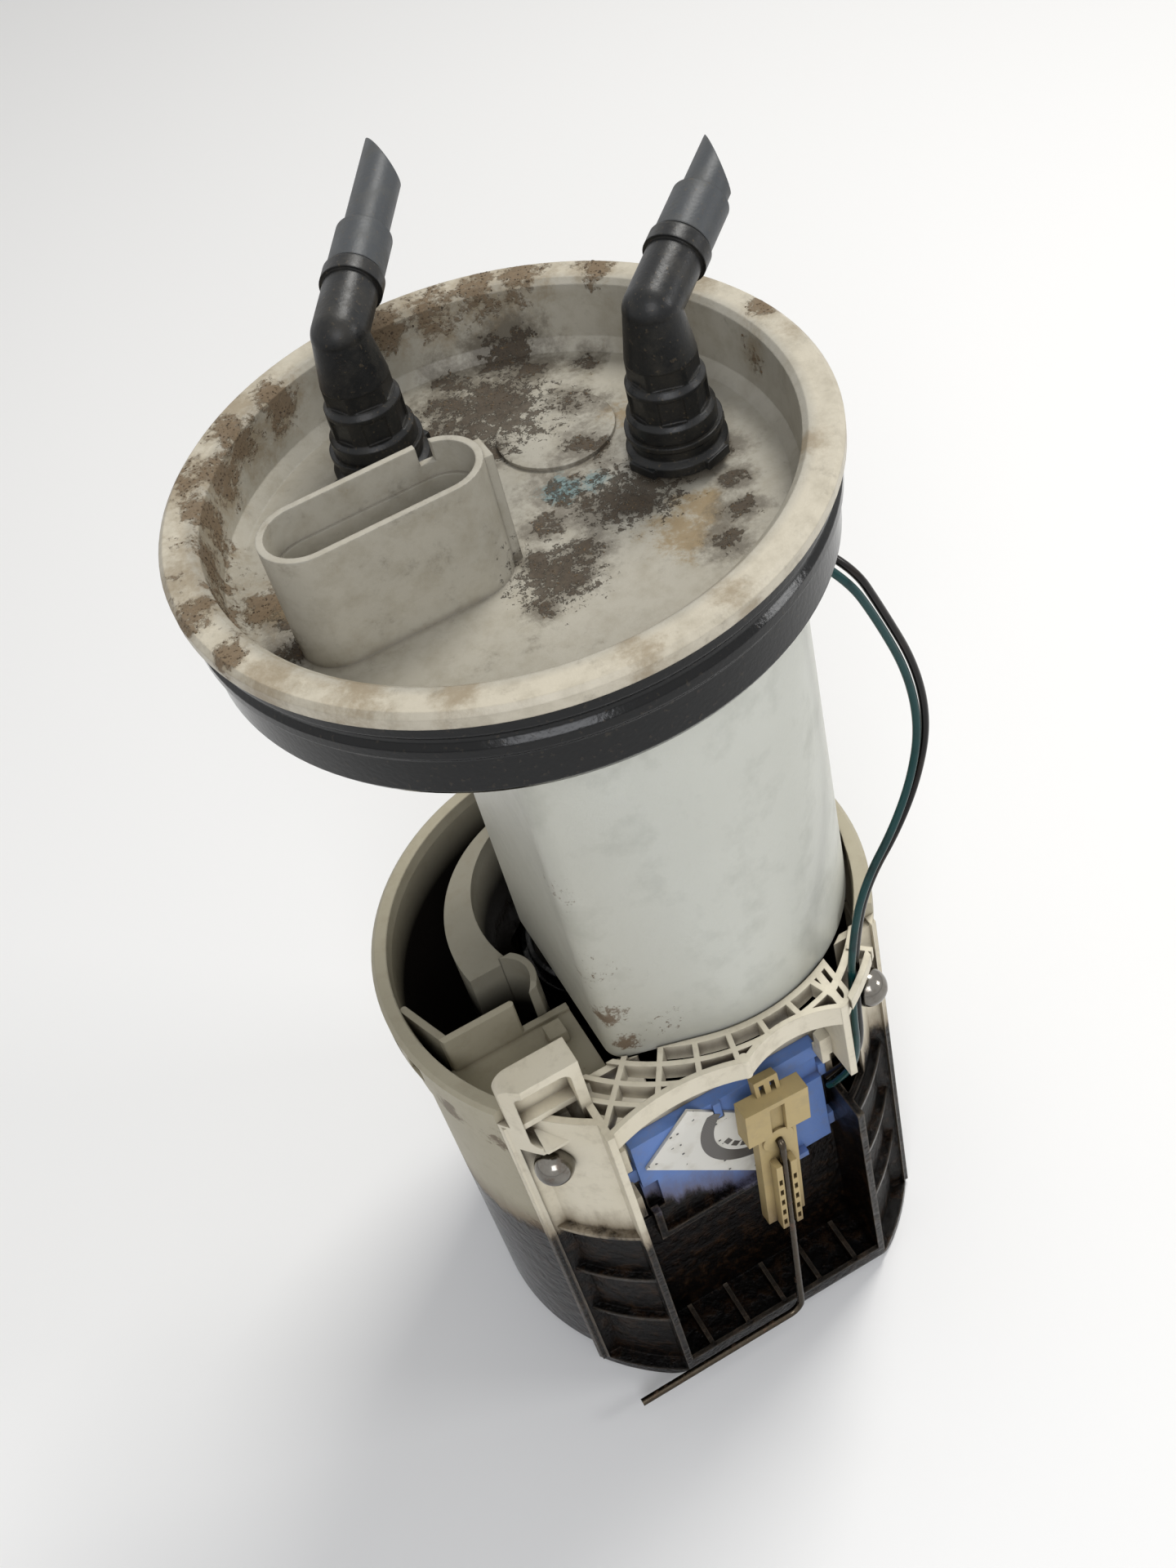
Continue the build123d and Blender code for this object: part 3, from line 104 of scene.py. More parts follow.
# %% [markdown]
# Every node tree here, for shaders and for geometry, is made with one small function. It adds
# a node, sets its properties, fills its sockets with values, colours or links, and hands back
# the socket that the next node reads. Colours are written as they look on screen, and one
# function turns them to linear light.

# %% Helpers for node trees
def linear(code):
    """Linear light for a colour that is written as it looks on screen."""
    parts = [int(code[i:i + 2], 16) / 255 for i in (1, 3, 5)]
    return [c / 12.92 if c <= 0.04045 else ((c + 0.055) / 1.055) ** 2.4 for c in parts] + [1.0]


def add(tree, kind, inputs=None, out=None, **settings):
    """Adds a node, sets and links it, and returns one of its output sockets."""
    node = tree.nodes.new(kind)
    for key, value in settings.items():
        setattr(node, key, value)
    for key, value in (inputs or {}).items():
        if isinstance(value, bpy.types.NodeSocket):
            tree.links.new(value, node.inputs[key])
        elif isinstance(value, str) and value.startswith("#"):
            node.inputs[key].default_value = linear(value)
        else:
            node.inputs[key].default_value = value
    if out is not None:
        return node.outputs[out]
    shown = [socket for socket in node.outputs if socket.enabled]
    return shown[0] if shown else node


def new_finish(name, **sockets):
    """A new material, its tree, its shader node and the place on the object in metres."""
    material = bpy.data.materials.new(name)
    material.use_nodes = True
    tree = material.node_tree
    tree.nodes.clear()
    values = {key.replace("_", " "): value for key, value in sockets.items()}
    surface = add(tree, "ShaderNodeBsdfPrincipled", values)
    add(tree, "ShaderNodeOutputMaterial", {"Surface": surface})
    place = add(tree, "ShaderNodeTexCoord", out="Object")
    return material, tree, surface.node, place


def dress(material, *names):
    """Give CAD nodes a finish."""
    for name in names:
        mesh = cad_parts[name].data
        mesh.materials.clear()
        mesh.materials.append(material)


print("mid grey in linear light:", round(linear("#808080")[0], 3))

# %% [markdown]
# Two thin wires run from under the flange to the sender. They hang in one loose loop, are
# held by the frame's strap, and go on down the post. Each stretch is a smooth curve through
# its route's control points, turned into a round tube. The loops are meshes.

# %% Wire routes
WIRE_D = 1.8 * MM
# Places in mm, the same control points as in the solids.
GLAND = (45.2, -29.3, -27.0)
CLIP = (34.2, -45.6, -136.0)
LOOPS = {
    "green": [
        (GLAND[0] - 1.0, GLAND[1] - 1.6, GLAND[2] - 0.7), (50.6, -34.0, -34.5), (56.0, -35.0, -48.8),
        (61.0, -36.0, -65.6), (61.4, -38.0, -80.0), (57.3, -40.0, -91.8), (50.4, -42.0, -102.2),
        (41.9, -43.5, -111.5), (36.5, -44.8, -123.5), CLIP],
    "black": [
        (GLAND[0] + 0.9, GLAND[1] + 1.4, GLAND[2] - 0.7), (52.6, -32.8, -33.0), (57.7, -34.2, -47.6),
        (63.1, -35.8, -64.9), (63.6, -37.9, -80.3), (59.0, -39.7, -93.3), (51.9, -41.4, -103.8),
        (43.5, -42.5, -112.8), (38.6, -43.2, -124.2), (CLIP[0] + 2.4, CLIP[1] + 2.04, CLIP[2])]}
TAILS = {
    "green": [
        (CLIP[0], CLIP[1], CLIP[2] - 0.1), (32.4, -47.0, -149.0), (31.9, -47.3, -167.0),
        (29.0, -45.0, -176.8), (25.9, -40.9, -183.8)],
    "black": [
        (CLIP[0] + 2.4, CLIP[1] + 2.04, CLIP[2] - 0.1), (34.5, -45.3, -149.0), (34.1, -45.6, -166.0),
        (31.2, -43.0, -175.2), (26.2, -39.9, -181.5)]}
# The number of control points in each wire's loop.
print("routes:", {name: len(points) for name, points in LOOPS.items()})

# %% Tubes that follow the routes
def route(name, points, thick):
    """Smooth curve with the route's points as control points, bare or as a tube."""
    curve = bpy.data.curves.new(name, "CURVE")
    curve.dimensions = "3D"
    curve.resolution_u = 12
    spline = curve.splines.new("NURBS")
    spline.points.add(len(points) - 1)
    for point, xyz in zip(spline.points, points):
        point.co = [c * MM for c in xyz] + [1.0]
    spline.order_u = 3
    spline.use_endpoint_u = True
    curve.bevel_depth = thick / 2
    curve.bevel_resolution = 4
    curve.use_fill_caps = thick > 0
    thing = bpy.data.objects.new(name, curve)
    bpy.context.scene.collection.objects.link(thing)
    return thing


def as_mesh(thing):
    """The finished mesh of a curve, or of an object with a modifier."""
    bpy.context.view_layer.update()
    ready = thing.evaluated_get(bpy.context.evaluated_depsgraph_get())
    return bpy.data.meshes.new_from_object(ready)


def tube(name, points, material):
    """Mesh tube along a route, and the points of its middle line."""
    line = route(name + "_line", points, 0.0)
    path = [tuple(v.co) for v in as_mesh(line).vertices]
    bpy.data.objects.remove(line)
    pipe = route(name + "_pipe", points, WIRE_D)
    mesh = as_mesh(pipe)
    bpy.data.objects.remove(pipe)
    mesh.materials.clear()
    mesh.materials.append(material)
    for face in mesh.polygons:
        face.use_smooth = True
    piece = bpy.data.objects.new(name, mesh)
    bpy.context.scene.collection.objects.link(piece)
    return piece, path


# PVC wire cover: extruded and soft, so it has a wet gloss and hardly any texture.
def pvc_wire_cover(name, base, dust):
    material, tree, surface, place = new_finish(
        name, Roughness=0.22, IOR=1.5, Coat_Weight=0.1, Coat_Roughness=0.08)
    surface.inputs["Specular IOR Level"].default_value = 0.25
    cloud = add(tree, "ShaderNodeTexNoise", {"Vector": place, "Scale": PER_M / 8, "Detail": 3.0})
    amount = add(tree, "ShaderNodeMapRange", {"Value": cloud, 1: 0.5, 2: 0.75},
                 interpolation_type="SMOOTHSTEP")
    colour = add(tree, "ShaderNodeMix", {0: amount, 6: base, 7: dust}, data_type="RGBA")
    tree.links.new(colour, surface.inputs["Base Color"])
    fine = add(tree, "ShaderNodeTexNoise", {"Vector": place, "Scale": PER_M / 0.7})
    bump = add(tree, "ShaderNodeBump", {"Height": fine, "Distance": 0.01 * MM})
    tree.links.new(bump, surface.inputs["Normal"])
    return material


covers = {
    "green": pvc_wire_cover("teal_pvc_wire_cover", "#0F3B3B", "#0A2424"),
    "black": pvc_wire_cover("black_pvc_wire_cover", "#0A0807", "#211A14")}
for shade, points in LOOPS.items():
    loop, path = tube(f"sender_wire_loop_{shade}", points, covers[shade])
    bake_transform(loop)
    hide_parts(f"wire_loop_{shade}")
    print(shade, "loop:", len(path), "points")
for shade, points in TAILS.items():
    tail, path = tube(f"sender_wire_tail_{shade}", points, covers[shade])
    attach(tail, "pot_unit")
    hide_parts(f"wire_tail_{shade}")
    print(shade, "tail:", len(path), "points")

# %% [markdown]
# Road dirt, old fuel and grit lie in patches with ragged edges. A patch could be painted by
# hand, but a rule is shorter: take noise, lift it near chosen places, and keep what rises over
# a limit. Far from those places nothing passes, close to them all of it does, and in between
# the noise tears the edge. The same places later say where loose crumbs of soil lie.

# %% Ragged patches
FRAYED_SHARE = 0.34


def patches(tree, place, spots, grain_mm, limit, softness=0.07, lift=0.32):
    """Mask of torn patches that crowd round the given (x, y, z, reach) places in mm."""
    torn = add(tree, "ShaderNodeTexNoise", {
        "Vector": place, "Scale": PER_M / grain_mm, "Detail": 6.0, "Roughness": 0.68, "Distortion": 0.3})
    # A finer noise frays the edge of the coarse one.
    frayed = add(tree, "ShaderNodeTexNoise", {
        "Vector": place, "Scale": 5 * PER_M / grain_mm, "Detail": 5.0, "Roughness": 0.7})
    torn = add(tree, "ShaderNodeMath", {0: torn, 1: 1 - FRAYED_SHARE}, operation="MULTIPLY")
    torn = add(tree, "ShaderNodeMath", {0: frayed, 1: FRAYED_SHARE, 2: torn}, operation="MULTIPLY_ADD")
    total = 0.0
    for x, y, z, reach in spots:
        spot = (x * MM, y * MM, z * MM)
        far = add(tree, "ShaderNodeVectorMath", {0: place, 1: spot}, operation="DISTANCE")
        weight = add(tree, "ShaderNodeMapRange", {"Value": far, 1: reach * MM, 2: 0.0},
                     interpolation_type="SMOOTHSTEP")
        total = add(tree, "ShaderNodeMath", {0: weight, 1: total}, operation="MAXIMUM")
    lifted = add(tree, "ShaderNodeMath", {0: total, 1: lift, 2: torn}, operation="MULTIPLY_ADD")
    return add(tree, "ShaderNodeMapRange", {"Value": lifted, 1: limit, 2: limit + softness},
               interpolation_type="SMOOTHSTEP")


# Each spot is x, y, z and its reach, in mm.
GRIME_SPOTS = [
    (23, 48, -15, 20), (10, 49, -15, 12), (5, 43, -15, 15), (0, 33, -15, 16), (14, 38, -15, 18),
    (25, 41, -15, 12), (6, 22, -15, 9), (1, 20, -15, 8), (27, 24, -15, 12), (22, 10, -15, 13),
    (12, 2, -15, 13), (-1, -13, -15, 8), (5, -5, -15, 11), (14, -8, -15, 13), (20, -11, -15, 9),
    (2, -19, -15, 13), (9, -16, -15, 9), (-6, -25, -15, 7), (36, -25, -15, 10), (39, -17, -15, 8),
    (29, -31, -15, 10), (42, -8, -15, 8), (35, 36, -15, 8), (-48, -5, -14, 12), (-46, 5, -15, 9)]
CLAY_SPOTS = [
    (31, 52, -1, 14), (22, 55, -2, 13), (12, 57, -2, 14), (2, 58, -2, 12), (-8, 58, -1, 10),
    (44, 43, -1, 10), (-26, 51, -3, 14), (-36, 45, -3, 15), (-45, 36, -4, 17), (-50, 27, -6, 17),
    (-54, 17, -7, 18), (-57, 6, -8, 18), (-57, -5, -8, 15), (-55, -14, -5, 11), (-48, 10, -15, 12),
    (-61, -2, 0, 12), (-60, -17, 0, 8), (59, 2, -6, 10), (62, 6, 0, 8)]
RIM_SPOTS = [
    (8, 60, 0, 12), (30, 53, 0, 12), (-34, 51, 0, 12), (-52, 34, 0, 13), (-60, 8, 0, 12),
    (63, -4, -1, 8), (47, -34, -2, 8), (-30, -50, -1, 9), (-44, -40, -1, 12), (-2, -61, -1, 9),
    (17, -59, -1, 8), (-55, -27, -1, 12), (56, 26, 0, 12)]
# Single grains of grime lie over wider rounds than the patches do.
GRAIN_SPOTS = [(0, -19, -15, 22), (12, 32, -15, 34), (22, -8, -15, 26)]
AMBER_SPOTS = [(25, -24, -15, 14), (30, -20, -15, 10), (33, 14, -15, 9)]
GREEN_SPOTS = [(12, 2, -15, 8), (18, 0, -15, 6)]
print("soiled places:", len(GRIME_SPOTS), len(CLAY_SPOTS), len(RIM_SPOTS))

# %% [markdown]
# The flange is moulded from acetal, which is dense, a little waxy, and greys and yellows with
# age. Its dish has caught brown clay on the far and left walls, dark grime between the elbows,
# an amber drip and a touch of green. A stain is a mask of torn patches that mixes its colour
# over the one below, so the layers are written one after the other, as they came to lie there.

# %% Flange finish
DISH_EDGE = 57.5 * MM
RIM_START = 59.5 * MM


def colour_laid_over(tree, colour, mask, share, stain):
    """Lays a colour of part strength over another: stains, and also painted shade and painted highlights."""
    part = add(tree, "ShaderNodeMath", {0: mask, 1: share}, operation="MULTIPLY")
    return add(tree, "ShaderNodeMix", {0: part, 6: colour, 7: stain}, data_type="RGBA")


def aged_acetal_flange():
    material, tree, surface, place = new_finish("aged_acetal_flange", IOR=1.48)
    surface.inputs["Specular IOR Level"].default_value = 0.35
    broad = add(tree, "ShaderNodeTexNoise", {"Vector": place, "Scale": PER_M / 30, "Detail": 3.0})
    cloud = add(tree, "ShaderNodeTexNoise", {
        "Vector": place, "Scale": PER_M / 5, "Detail": 6.0, "Roughness": 0.65})
    grit = add(tree, "ShaderNodeTexNoise", {
        "Vector": place, "Scale": PER_M / 0.8, "Detail": 3.0, "Roughness": 0.7})
    # The dish's floor and walls are painted greyer than the rim: painted shade of the sunken dish.
    flat = add(tree, "ShaderNodeVectorMath", {0: place, 1: (1, 1, 0)}, operation="MULTIPLY")
    out_from_middle = add(tree, "ShaderNodeVectorMath", {0: flat}, out="Value", operation="LENGTH")
    on_rim = add(tree, "ShaderNodeMapRange", {"Value": out_from_middle, 1: DISH_EDGE, 2: RIM_START})
    dish = add(tree, "ShaderNodeMix", {0: broad, 6: "#B7B1A2", 7: "#9F9C92"}, data_type="RGBA")
    rim = add(tree, "ShaderNodeMix", {0: broad, 6: "#C9C1AE", 7: "#BAB3A3"}, data_type="RGBA")
    colour = add(tree, "ShaderNodeMix", {0: on_rim, 6: dish, 7: rim}, data_type="RGBA")
    haze = add(tree, "ShaderNodeMapRange", {"Value": cloud, 1: 0.44, 2: 0.72})
    colour = colour_laid_over(tree, colour, haze, 0.4, "#857C68")
    amber = patches(tree, place, AMBER_SPOTS, grain_mm=5, limit=0.6, softness=0.2)
    colour = colour_laid_over(tree, colour, amber, 0.75, "#8B7550")
    # Grime: a thin dark wash first, then its torn, nearly black heart and single grains.
    wash = patches(tree, place, GRIME_SPOTS, grain_mm=7, limit=0.53, softness=0.28)
    colour = colour_laid_over(tree, colour, wash, 0.85, "#625B4F")
    green = patches(tree, place, GREEN_SPOTS, grain_mm=3, limit=0.62, softness=0.15)
    colour = colour_laid_over(tree, colour, green, 0.6, "#6A8C90")
    grime = patches(tree, place, GRIME_SPOTS, grain_mm=5, limit=0.76, softness=0.06)
    grains = patches(tree, place, GRAIN_SPOTS, grain_mm=1.7, limit=0.74, softness=0.05)
    grime = add(tree, "ShaderNodeMath", {0: grime, 1: grains}, operation="MAXIMUM")
    dark = add(tree, "ShaderNodeMix", {0: grit, 6: "#2A231D", 7: "#5A4E40"}, data_type="RGBA")
    colour = colour_laid_over(tree, colour, grime, 0.85, dark)
    # Clay: paler and browner, smeared over the walls and the rim.
    smear = patches(tree, place, CLAY_SPOTS + RIM_SPOTS, grain_mm=8, limit=0.56, softness=0.3)
    colour = colour_laid_over(tree, colour, smear, 0.7, "#857459")
    clay = patches(tree, place, CLAY_SPOTS, grain_mm=6, limit=0.7, softness=0.09)
    brown = add(tree, "ShaderNodeMix", {0: grit, 6: "#4B3D2E", 7: "#87735A"}, data_type="RGBA")
    colour = colour_laid_over(tree, colour, clay, 0.85, brown)
    # The occlusion node paints the corners darker and browner: painted shade, with the dirt that gathers
    # there.
    open_sky = add(tree, "ShaderNodeAmbientOcclusion", {"Distance": 3 * MM}, out="AO", samples=6)
    corner = add(tree, "ShaderNodeMapRange", {"Value": open_sky, 1: 0.72, 2: 0.4})
    colour = colour_laid_over(tree, colour, corner, 0.7, "#4A3F30")
    tree.links.new(colour, surface.inputs["Base Color"])
    soil = add(tree, "ShaderNodeMath", {0: grime, 1: clay}, operation="MAXIMUM")
    rough = add(tree, "ShaderNodeMapRange", {"Value": soil, 3: 0.36, 4: 0.85})
    tree.links.new(rough, surface.inputs["Roughness"])
    relief = add(tree, "ShaderNodeMath", {0: soil, 1: 2.5, 2: grit}, operation="MULTIPLY_ADD")
    edge = add(tree, "ShaderNodeBevel", {"Radius": 0.5 * MM}, samples=4)
    bump = add(tree, "ShaderNodeBump", {"Height": relief, "Distance": 0.07 * MM, "Normal": edge})
    tree.links.new(bump, surface.inputs["Normal"])
    return material


dress(aged_acetal_flange(), "flange")
print("flange dressed")

# %% [markdown]
# The pot and the sender frame are cream plastics, and the sender's carrier is blue. Old fuel
# has left a varnish on the lower third of them all, nearly black and wet. Its upper edge is
# level, as the fuel stood, but runs and drips make it uneven. So the finish is one function
# with the clean colours, the level and how it leans. Over the film lies a tea-brown band.
# Corners are painted darker and browner, as painted shade with some dirt, and edges and ribs in
# the film are painted paler, as painted highlights.

# %% Plastics under fuel varnish
TEA_MM = 14  # The tea-brown band reaches this far above the film.


def varnished_plastic(name, clean, shade, level_mm, uneven_mm, lean=(0.0, 0.0), edge_mm=0.4,
                      crevice=0.75, reach_mm=3, spots=()):
    material, tree, surface, place = new_finish(name, IOR=1.46)
    surface.inputs["Specular IOR Level"].default_value = 0.18
    broad = add(tree, "ShaderNodeTexNoise", {"Vector": place, "Scale": PER_M / 20, "Detail": 4.0})
    cloud = add(tree, "ShaderNodeTexNoise", {
        "Vector": place, "Scale": PER_M / 4, "Detail": 6.0, "Roughness": 0.66})
    grit = add(tree, "ShaderNodeTexNoise", {
        "Vector": place, "Scale": PER_M / 1.1, "Detail": 4.0, "Roughness": 0.7})
    # Runs are the same kind of cloud, drawn out downwards.
    drawn = add(tree, "ShaderNodeMapping", {"Vector": place, "Scale": (1, 1, 0.3)})
    runs = add(tree, "ShaderNodeTexNoise", {
        "Vector": drawn, "Scale": PER_M / 5, "Detail": 6.0, "Roughness": 0.66})
    colour = add(tree, "ShaderNodeMix", {0: broad, 6: clean, 7: shade}, data_type="RGBA")
    haze = add(tree, "ShaderNodeMapRange", {"Value": cloud, 1: 0.5, 2: 0.75})
    colour = colour_laid_over(tree, colour, haze, 0.3, "#8C8069")
    # The level is the height in mm, plus the lean, plus runs. The noise lies about a half, so
    # four times the unevenness adds twice of it on average, and the film's top is raised by that.
    tilt = (PER_M * lean[0], PER_M * lean[1], PER_M)
    level = add(tree, "ShaderNodeVectorMath", {0: place, 1: tilt}, out="Value", operation="DOT_PRODUCT")
    level = add(tree, "ShaderNodeMath", {0: runs, 1: 4 * uneven_mm, 2: level}, operation="MULTIPLY_ADD")
    film_top = level_mm + 2 * uneven_mm
    tea = add(tree, "ShaderNodeMapRange", {"Value": level, 1: film_top + TEA_MM, 2: film_top - 2},
              interpolation_type="SMOOTHSTEP")
    colour = colour_laid_over(tree, colour, tea, 0.75, "#5F4A30")
    # Painted shade: the occlusion node makes corners darker and browner, with some dirt there too.
    open_sky = add(tree, "ShaderNodeAmbientOcclusion", {"Distance": reach_mm * MM}, out="AO", samples=6)
    corner = add(tree, "ShaderNodeMapRange", {"Value": open_sky, 1: 0.7, 2: 0.3})
    colour = colour_laid_over(tree, colour, corner, crevice, "#43341F")
    if spots:
        stain = patches(tree, place, spots, grain_mm=4, limit=0.66, softness=0.12)
        colour = colour_laid_over(tree, colour, stain, 0.75, "#54412B")
    dark = add(tree, "ShaderNodeMapRange", {"Value": level, 1: film_top + 3, 2: film_top - 3},
               interpolation_type="SMOOTHSTEP")
    film = add(tree, "ShaderNodeMapRange", {"Value": cloud, 1: 0.48, 2: 0.7})
    film = add(tree, "ShaderNodeMix", {0: film, 6: "#060403", 7: "#2C1D10"}, data_type="RGBA")
    # Edges and narrow ribs are painted paler over the dark film: painted highlights on the wet varnish.
    depth = add(tree, "ShaderNodeAmbientOcclusion", {"Distance": 1.3 * MM}, out="AO", samples=4, inside=True)
    rib_highlight = add(tree, "ShaderNodeMapRange", {"Value": depth, 1: 0.7, 2: 0.2})
    rib_highlight = add(tree, "ShaderNodeMath", {0: rib_highlight, 1: cloud}, operation="MULTIPLY")
    film = colour_laid_over(tree, film, rib_highlight, 0.9, "#85796A")
    colour = add(tree, "ShaderNodeMix", {0: dark, 6: colour, 7: film}, data_type="RGBA")
    tree.links.new(colour, surface.inputs["Base Color"])
    rough = add(tree, "ShaderNodeMapRange", {"Value": dark, 3: 0.38, 4: 0.06})
    rough = add(tree, "ShaderNodeMath", {0: grit, 1: 0.1, 2: rough}, operation="MULTIPLY_ADD")
    tree.links.new(rough, surface.inputs["Roughness"])
    # The wet film is lumpy, so that it glints in many small places.
    lumps = add(tree, "ShaderNodeMath", {0: cloud, 1: dark}, operation="MULTIPLY")
    relief = add(tree, "ShaderNodeMath", {0: lumps, 1: 13.0, 2: grit}, operation="MULTIPLY_ADD")
    edge = add(tree, "ShaderNodeBevel", {"Radius": edge_mm * MM}, samples=4)
    bump = add(tree, "ShaderNodeBump", {"Height": relief, "Distance": 0.08 * MM, "Normal": edge})
    tree.links.new(bump, surface.inputs["Normal"])
    return material, tree, surface, place


frame_cream = varnished_plastic(
    "cream_acetal_frame", "#E2DBC9", "#D2C9B2", level_mm=-184, uneven_mm=4.0, lean=(-0.1, 0.0),
    crevice=0.9, reach_mm=5)[0]
carrier_blue = varnished_plastic(
    "blue_acetal_carrier", "#7391CB", "#5D7BB8", level_mm=-207, uneven_mm=4.0, lean=(0.55, 0.0),
    edge_mm=0.3, crevice=0.5)[0]
holder_tan = varnished_plastic(
    "tan_acetal_holder", "#C0AC7E", "#A89468", level_mm=-214, uneven_mm=3.0, edge_mm=0.25, crevice=0.9)[0]
dress(frame_cream, "sender_frame")
dress(carrier_blue, "sender_housing")
dress(holder_tan, "wiper_holder")
print("frame and sender dressed")

# %% [markdown]
# The swirl pot's mouth shows its inner walls. They are painted dark, darker with depth: painted
# shade of the deep mouth over a film of old fuel, while the outside of the same walls is pale.
# A second material would need a second piece, so one more layer is mixed into the same one,
# where a point lies within the mouth's radius and behind the tray.

# %% The pot and its dark mouth
SHADE_AND_FILM_FADE_MM = 12


def darken_inside(material, tree, surface, place, centre_mm, radius_mm, front_mm, top_mm):
    """Painted shade on the inner walls behind the tray, darker with depth, over their fuel film."""
    before = surface.inputs["Base Color"].links[0].from_socket
    parts = add(tree, "ShaderNodeSeparateXYZ", {"Vector": place})
    height = parts.node.outputs["Z"]
    flat = add(tree, "ShaderNodeCombineXYZ", {"X": parts.node.outputs["X"], "Y": parts.node.outputs["Y"]})
    far = add(tree, "ShaderNodeVectorMath", {0: flat, 1: (centre_mm * MM, 0, 0)}, operation="DISTANCE")
    inside = add(tree, "ShaderNodeMath", {0: far, 1: radius_mm * MM}, operation="LESS_THAN")
    behind = add(tree, "ShaderNodeMath", {0: parts.node.outputs["Y"], 1: front_mm * MM},
                 operation="GREATER_THAN")
    full_mm = top_mm - SHADE_AND_FILM_FADE_MM
    deep = add(tree, "ShaderNodeMapRange", {"Value": height, 1: top_mm * MM, 2: full_mm * MM, 3: 0.25})
    amount = add(tree, "ShaderNodeMath", {0: inside, 1: behind}, operation="MULTIPLY")
    amount = add(tree, "ShaderNodeMath", {0: amount, 1: deep}, operation="MULTIPLY")
    # The dark colour is painted shade, deepest low in the mouth, over the fuel film.
    colour = add(tree, "ShaderNodeMix", {0: amount, 6: before, 7: "#15120F"}, data_type="RGBA")
    tree.links.new(colour, surface.inputs["Base Color"])
    return material


POT_SPOTS = [
    (-34, -33, -150, 9), (-27, -31, -150, 8), (-50, -28, -152, 12), (-57, -15, -150, 10),
    (-38, -46, -190, 14), (-50, -30, -196, 14), (55, 20, -150, 12), (20, 53, -150, 14), (-20, 52, -160, 14)]
pot = varnished_plastic(
    "aged_polyamide_pot", "#B3AC98", "#A29B86", level_mm=-209, uneven_mm=2.0, lean=(0.12, 0.25),
    spots=POT_SPOTS)
cup = varnished_plastic(
    "aged_polyamide_inner_wall", "#ABA696", "#938E7D", level_mm=-162, uneven_mm=3.0, crevice=0.5)
dress(darken_inside(*pot, centre_mm=-2, radius_mm=56.3, front_mm=-9, top_mm=-136), "swirl_pot")
dress(darken_inside(*cup, centre_mm=-2, radius_mm=70, front_mm=-60, top_mm=-140), "inner_cup", "return_chute")
print("pot dressed, stained places:", len(POT_SPOTS))

# %% [markdown]
# The filter column is a thin moulding of undyed polyamide, cool, slightly green and a little
# translucent. It is clean but for cloudy wipes of old dirt and a spatter of brown specks low
# on its left side.

# %% Filter column finish
DIRT_MARKS = [(-20, -34, -124, 10), (-18, -36, -134, 9)]
SPATTER_SPOTS = [(-23, -31, -80, 24), (-21, -33, -108, 26), (-8, -38, -130, 20)]


def undyed_polyamide_column():
    material, tree, surface, place = new_finish(
        "undyed_polyamide_column", IOR=1.52, Subsurface_Weight=0.06,
        Subsurface_Radius=(4 * MM, 4 * MM, 3 * MM))
    broad = add(tree, "ShaderNodeTexNoise", {"Vector": place, "Scale": PER_M / 45, "Detail": 2.0})
    cloud = add(tree, "ShaderNodeTexNoise", {
        "Vector": place, "Scale": PER_M / 13, "Detail": 5.0, "Roughness": 0.62})
    grit = add(tree, "ShaderNodeTexNoise", {
        "Vector": place, "Scale": PER_M / 1.0, "Detail": 4.0, "Roughness": 0.7})
    colour = add(tree, "ShaderNodeMix", {0: broad, 6: "#CBCCC3", 7: "#BBBCB2"}, data_type="RGBA")
    wipe = add(tree, "ShaderNodeMapRange", {"Value": cloud, 1: 0.52, 2: 0.74, 4: 0.5})
    colour = add(tree, "ShaderNodeMix", {0: wipe, 6: colour, 7: "#9FA197"}, data_type="RGBA")
    # The left side and the foot are painted browner and darker, as painted shade: this is the
    # distance to the left in mm, and a little of the depth.
    side = add(tree, "ShaderNodeVectorMath", {0: place, 1: (-PER_M, 0, -0.18 * PER_M)}, out="Value",
               operation="DOT_PRODUCT")
    left = add(tree, "ShaderNodeMapRange", {"Value": side, 1: 15.0, 2: 46.0, 4: 0.5})
    colour = add(tree, "ShaderNodeMix", {0: left, 6: colour, 7: "#968F7C"}, data_type="RGBA")
    mark = patches(tree, place, DIRT_MARKS, grain_mm=3, limit=0.7, softness=0.1)
    spatter = patches(tree, place, SPATTER_SPOTS, grain_mm=1.5, limit=0.86, softness=0.05)
    spots = add(tree, "ShaderNodeMath", {0: mark, 1: spatter}, operation="MAXIMUM")
    spots = add(tree, "ShaderNodeMath", {0: spots, 1: 0.85}, operation="MULTIPLY")
    colour = add(tree, "ShaderNodeMix", {0: spots, 6: colour, 7: "#5C452E"}, data_type="RGBA")
    tree.links.new(colour, surface.inputs["Base Color"])
    rough = add(tree, "ShaderNodeMapRange", {"Value": cloud, 3: 0.26, 4: 0.5})
    tree.links.new(rough, surface.inputs["Roughness"])
    relief = add(tree, "ShaderNodeMath", {0: cloud, 1: 5.0, 2: grit}, operation="MULTIPLY_ADD")
    edge = add(tree, "ShaderNodeBevel", {"Radius": 0.6 * MM}, samples=4)
    bump = add(tree, "ShaderNodeBump", {"Height": relief, "Distance": 0.07 * MM, "Normal": edge})
    tree.links.new(bump, surface.inputs["Normal"])
    return material


dress(undyed_polyamide_column(), "filter_canister", "filter_end_plates")
print("column dressed")

# %% [markdown]
# The seal is black nitrile rubber, wet with fuel, so every lamp makes a streak on it. The
# elbows are black glass-filled polyamide with dust in their hollows; the stubs of hose are
# greyer, semi-rigid polyamide tube. The three differ in grain, gloss and how much dust holds.

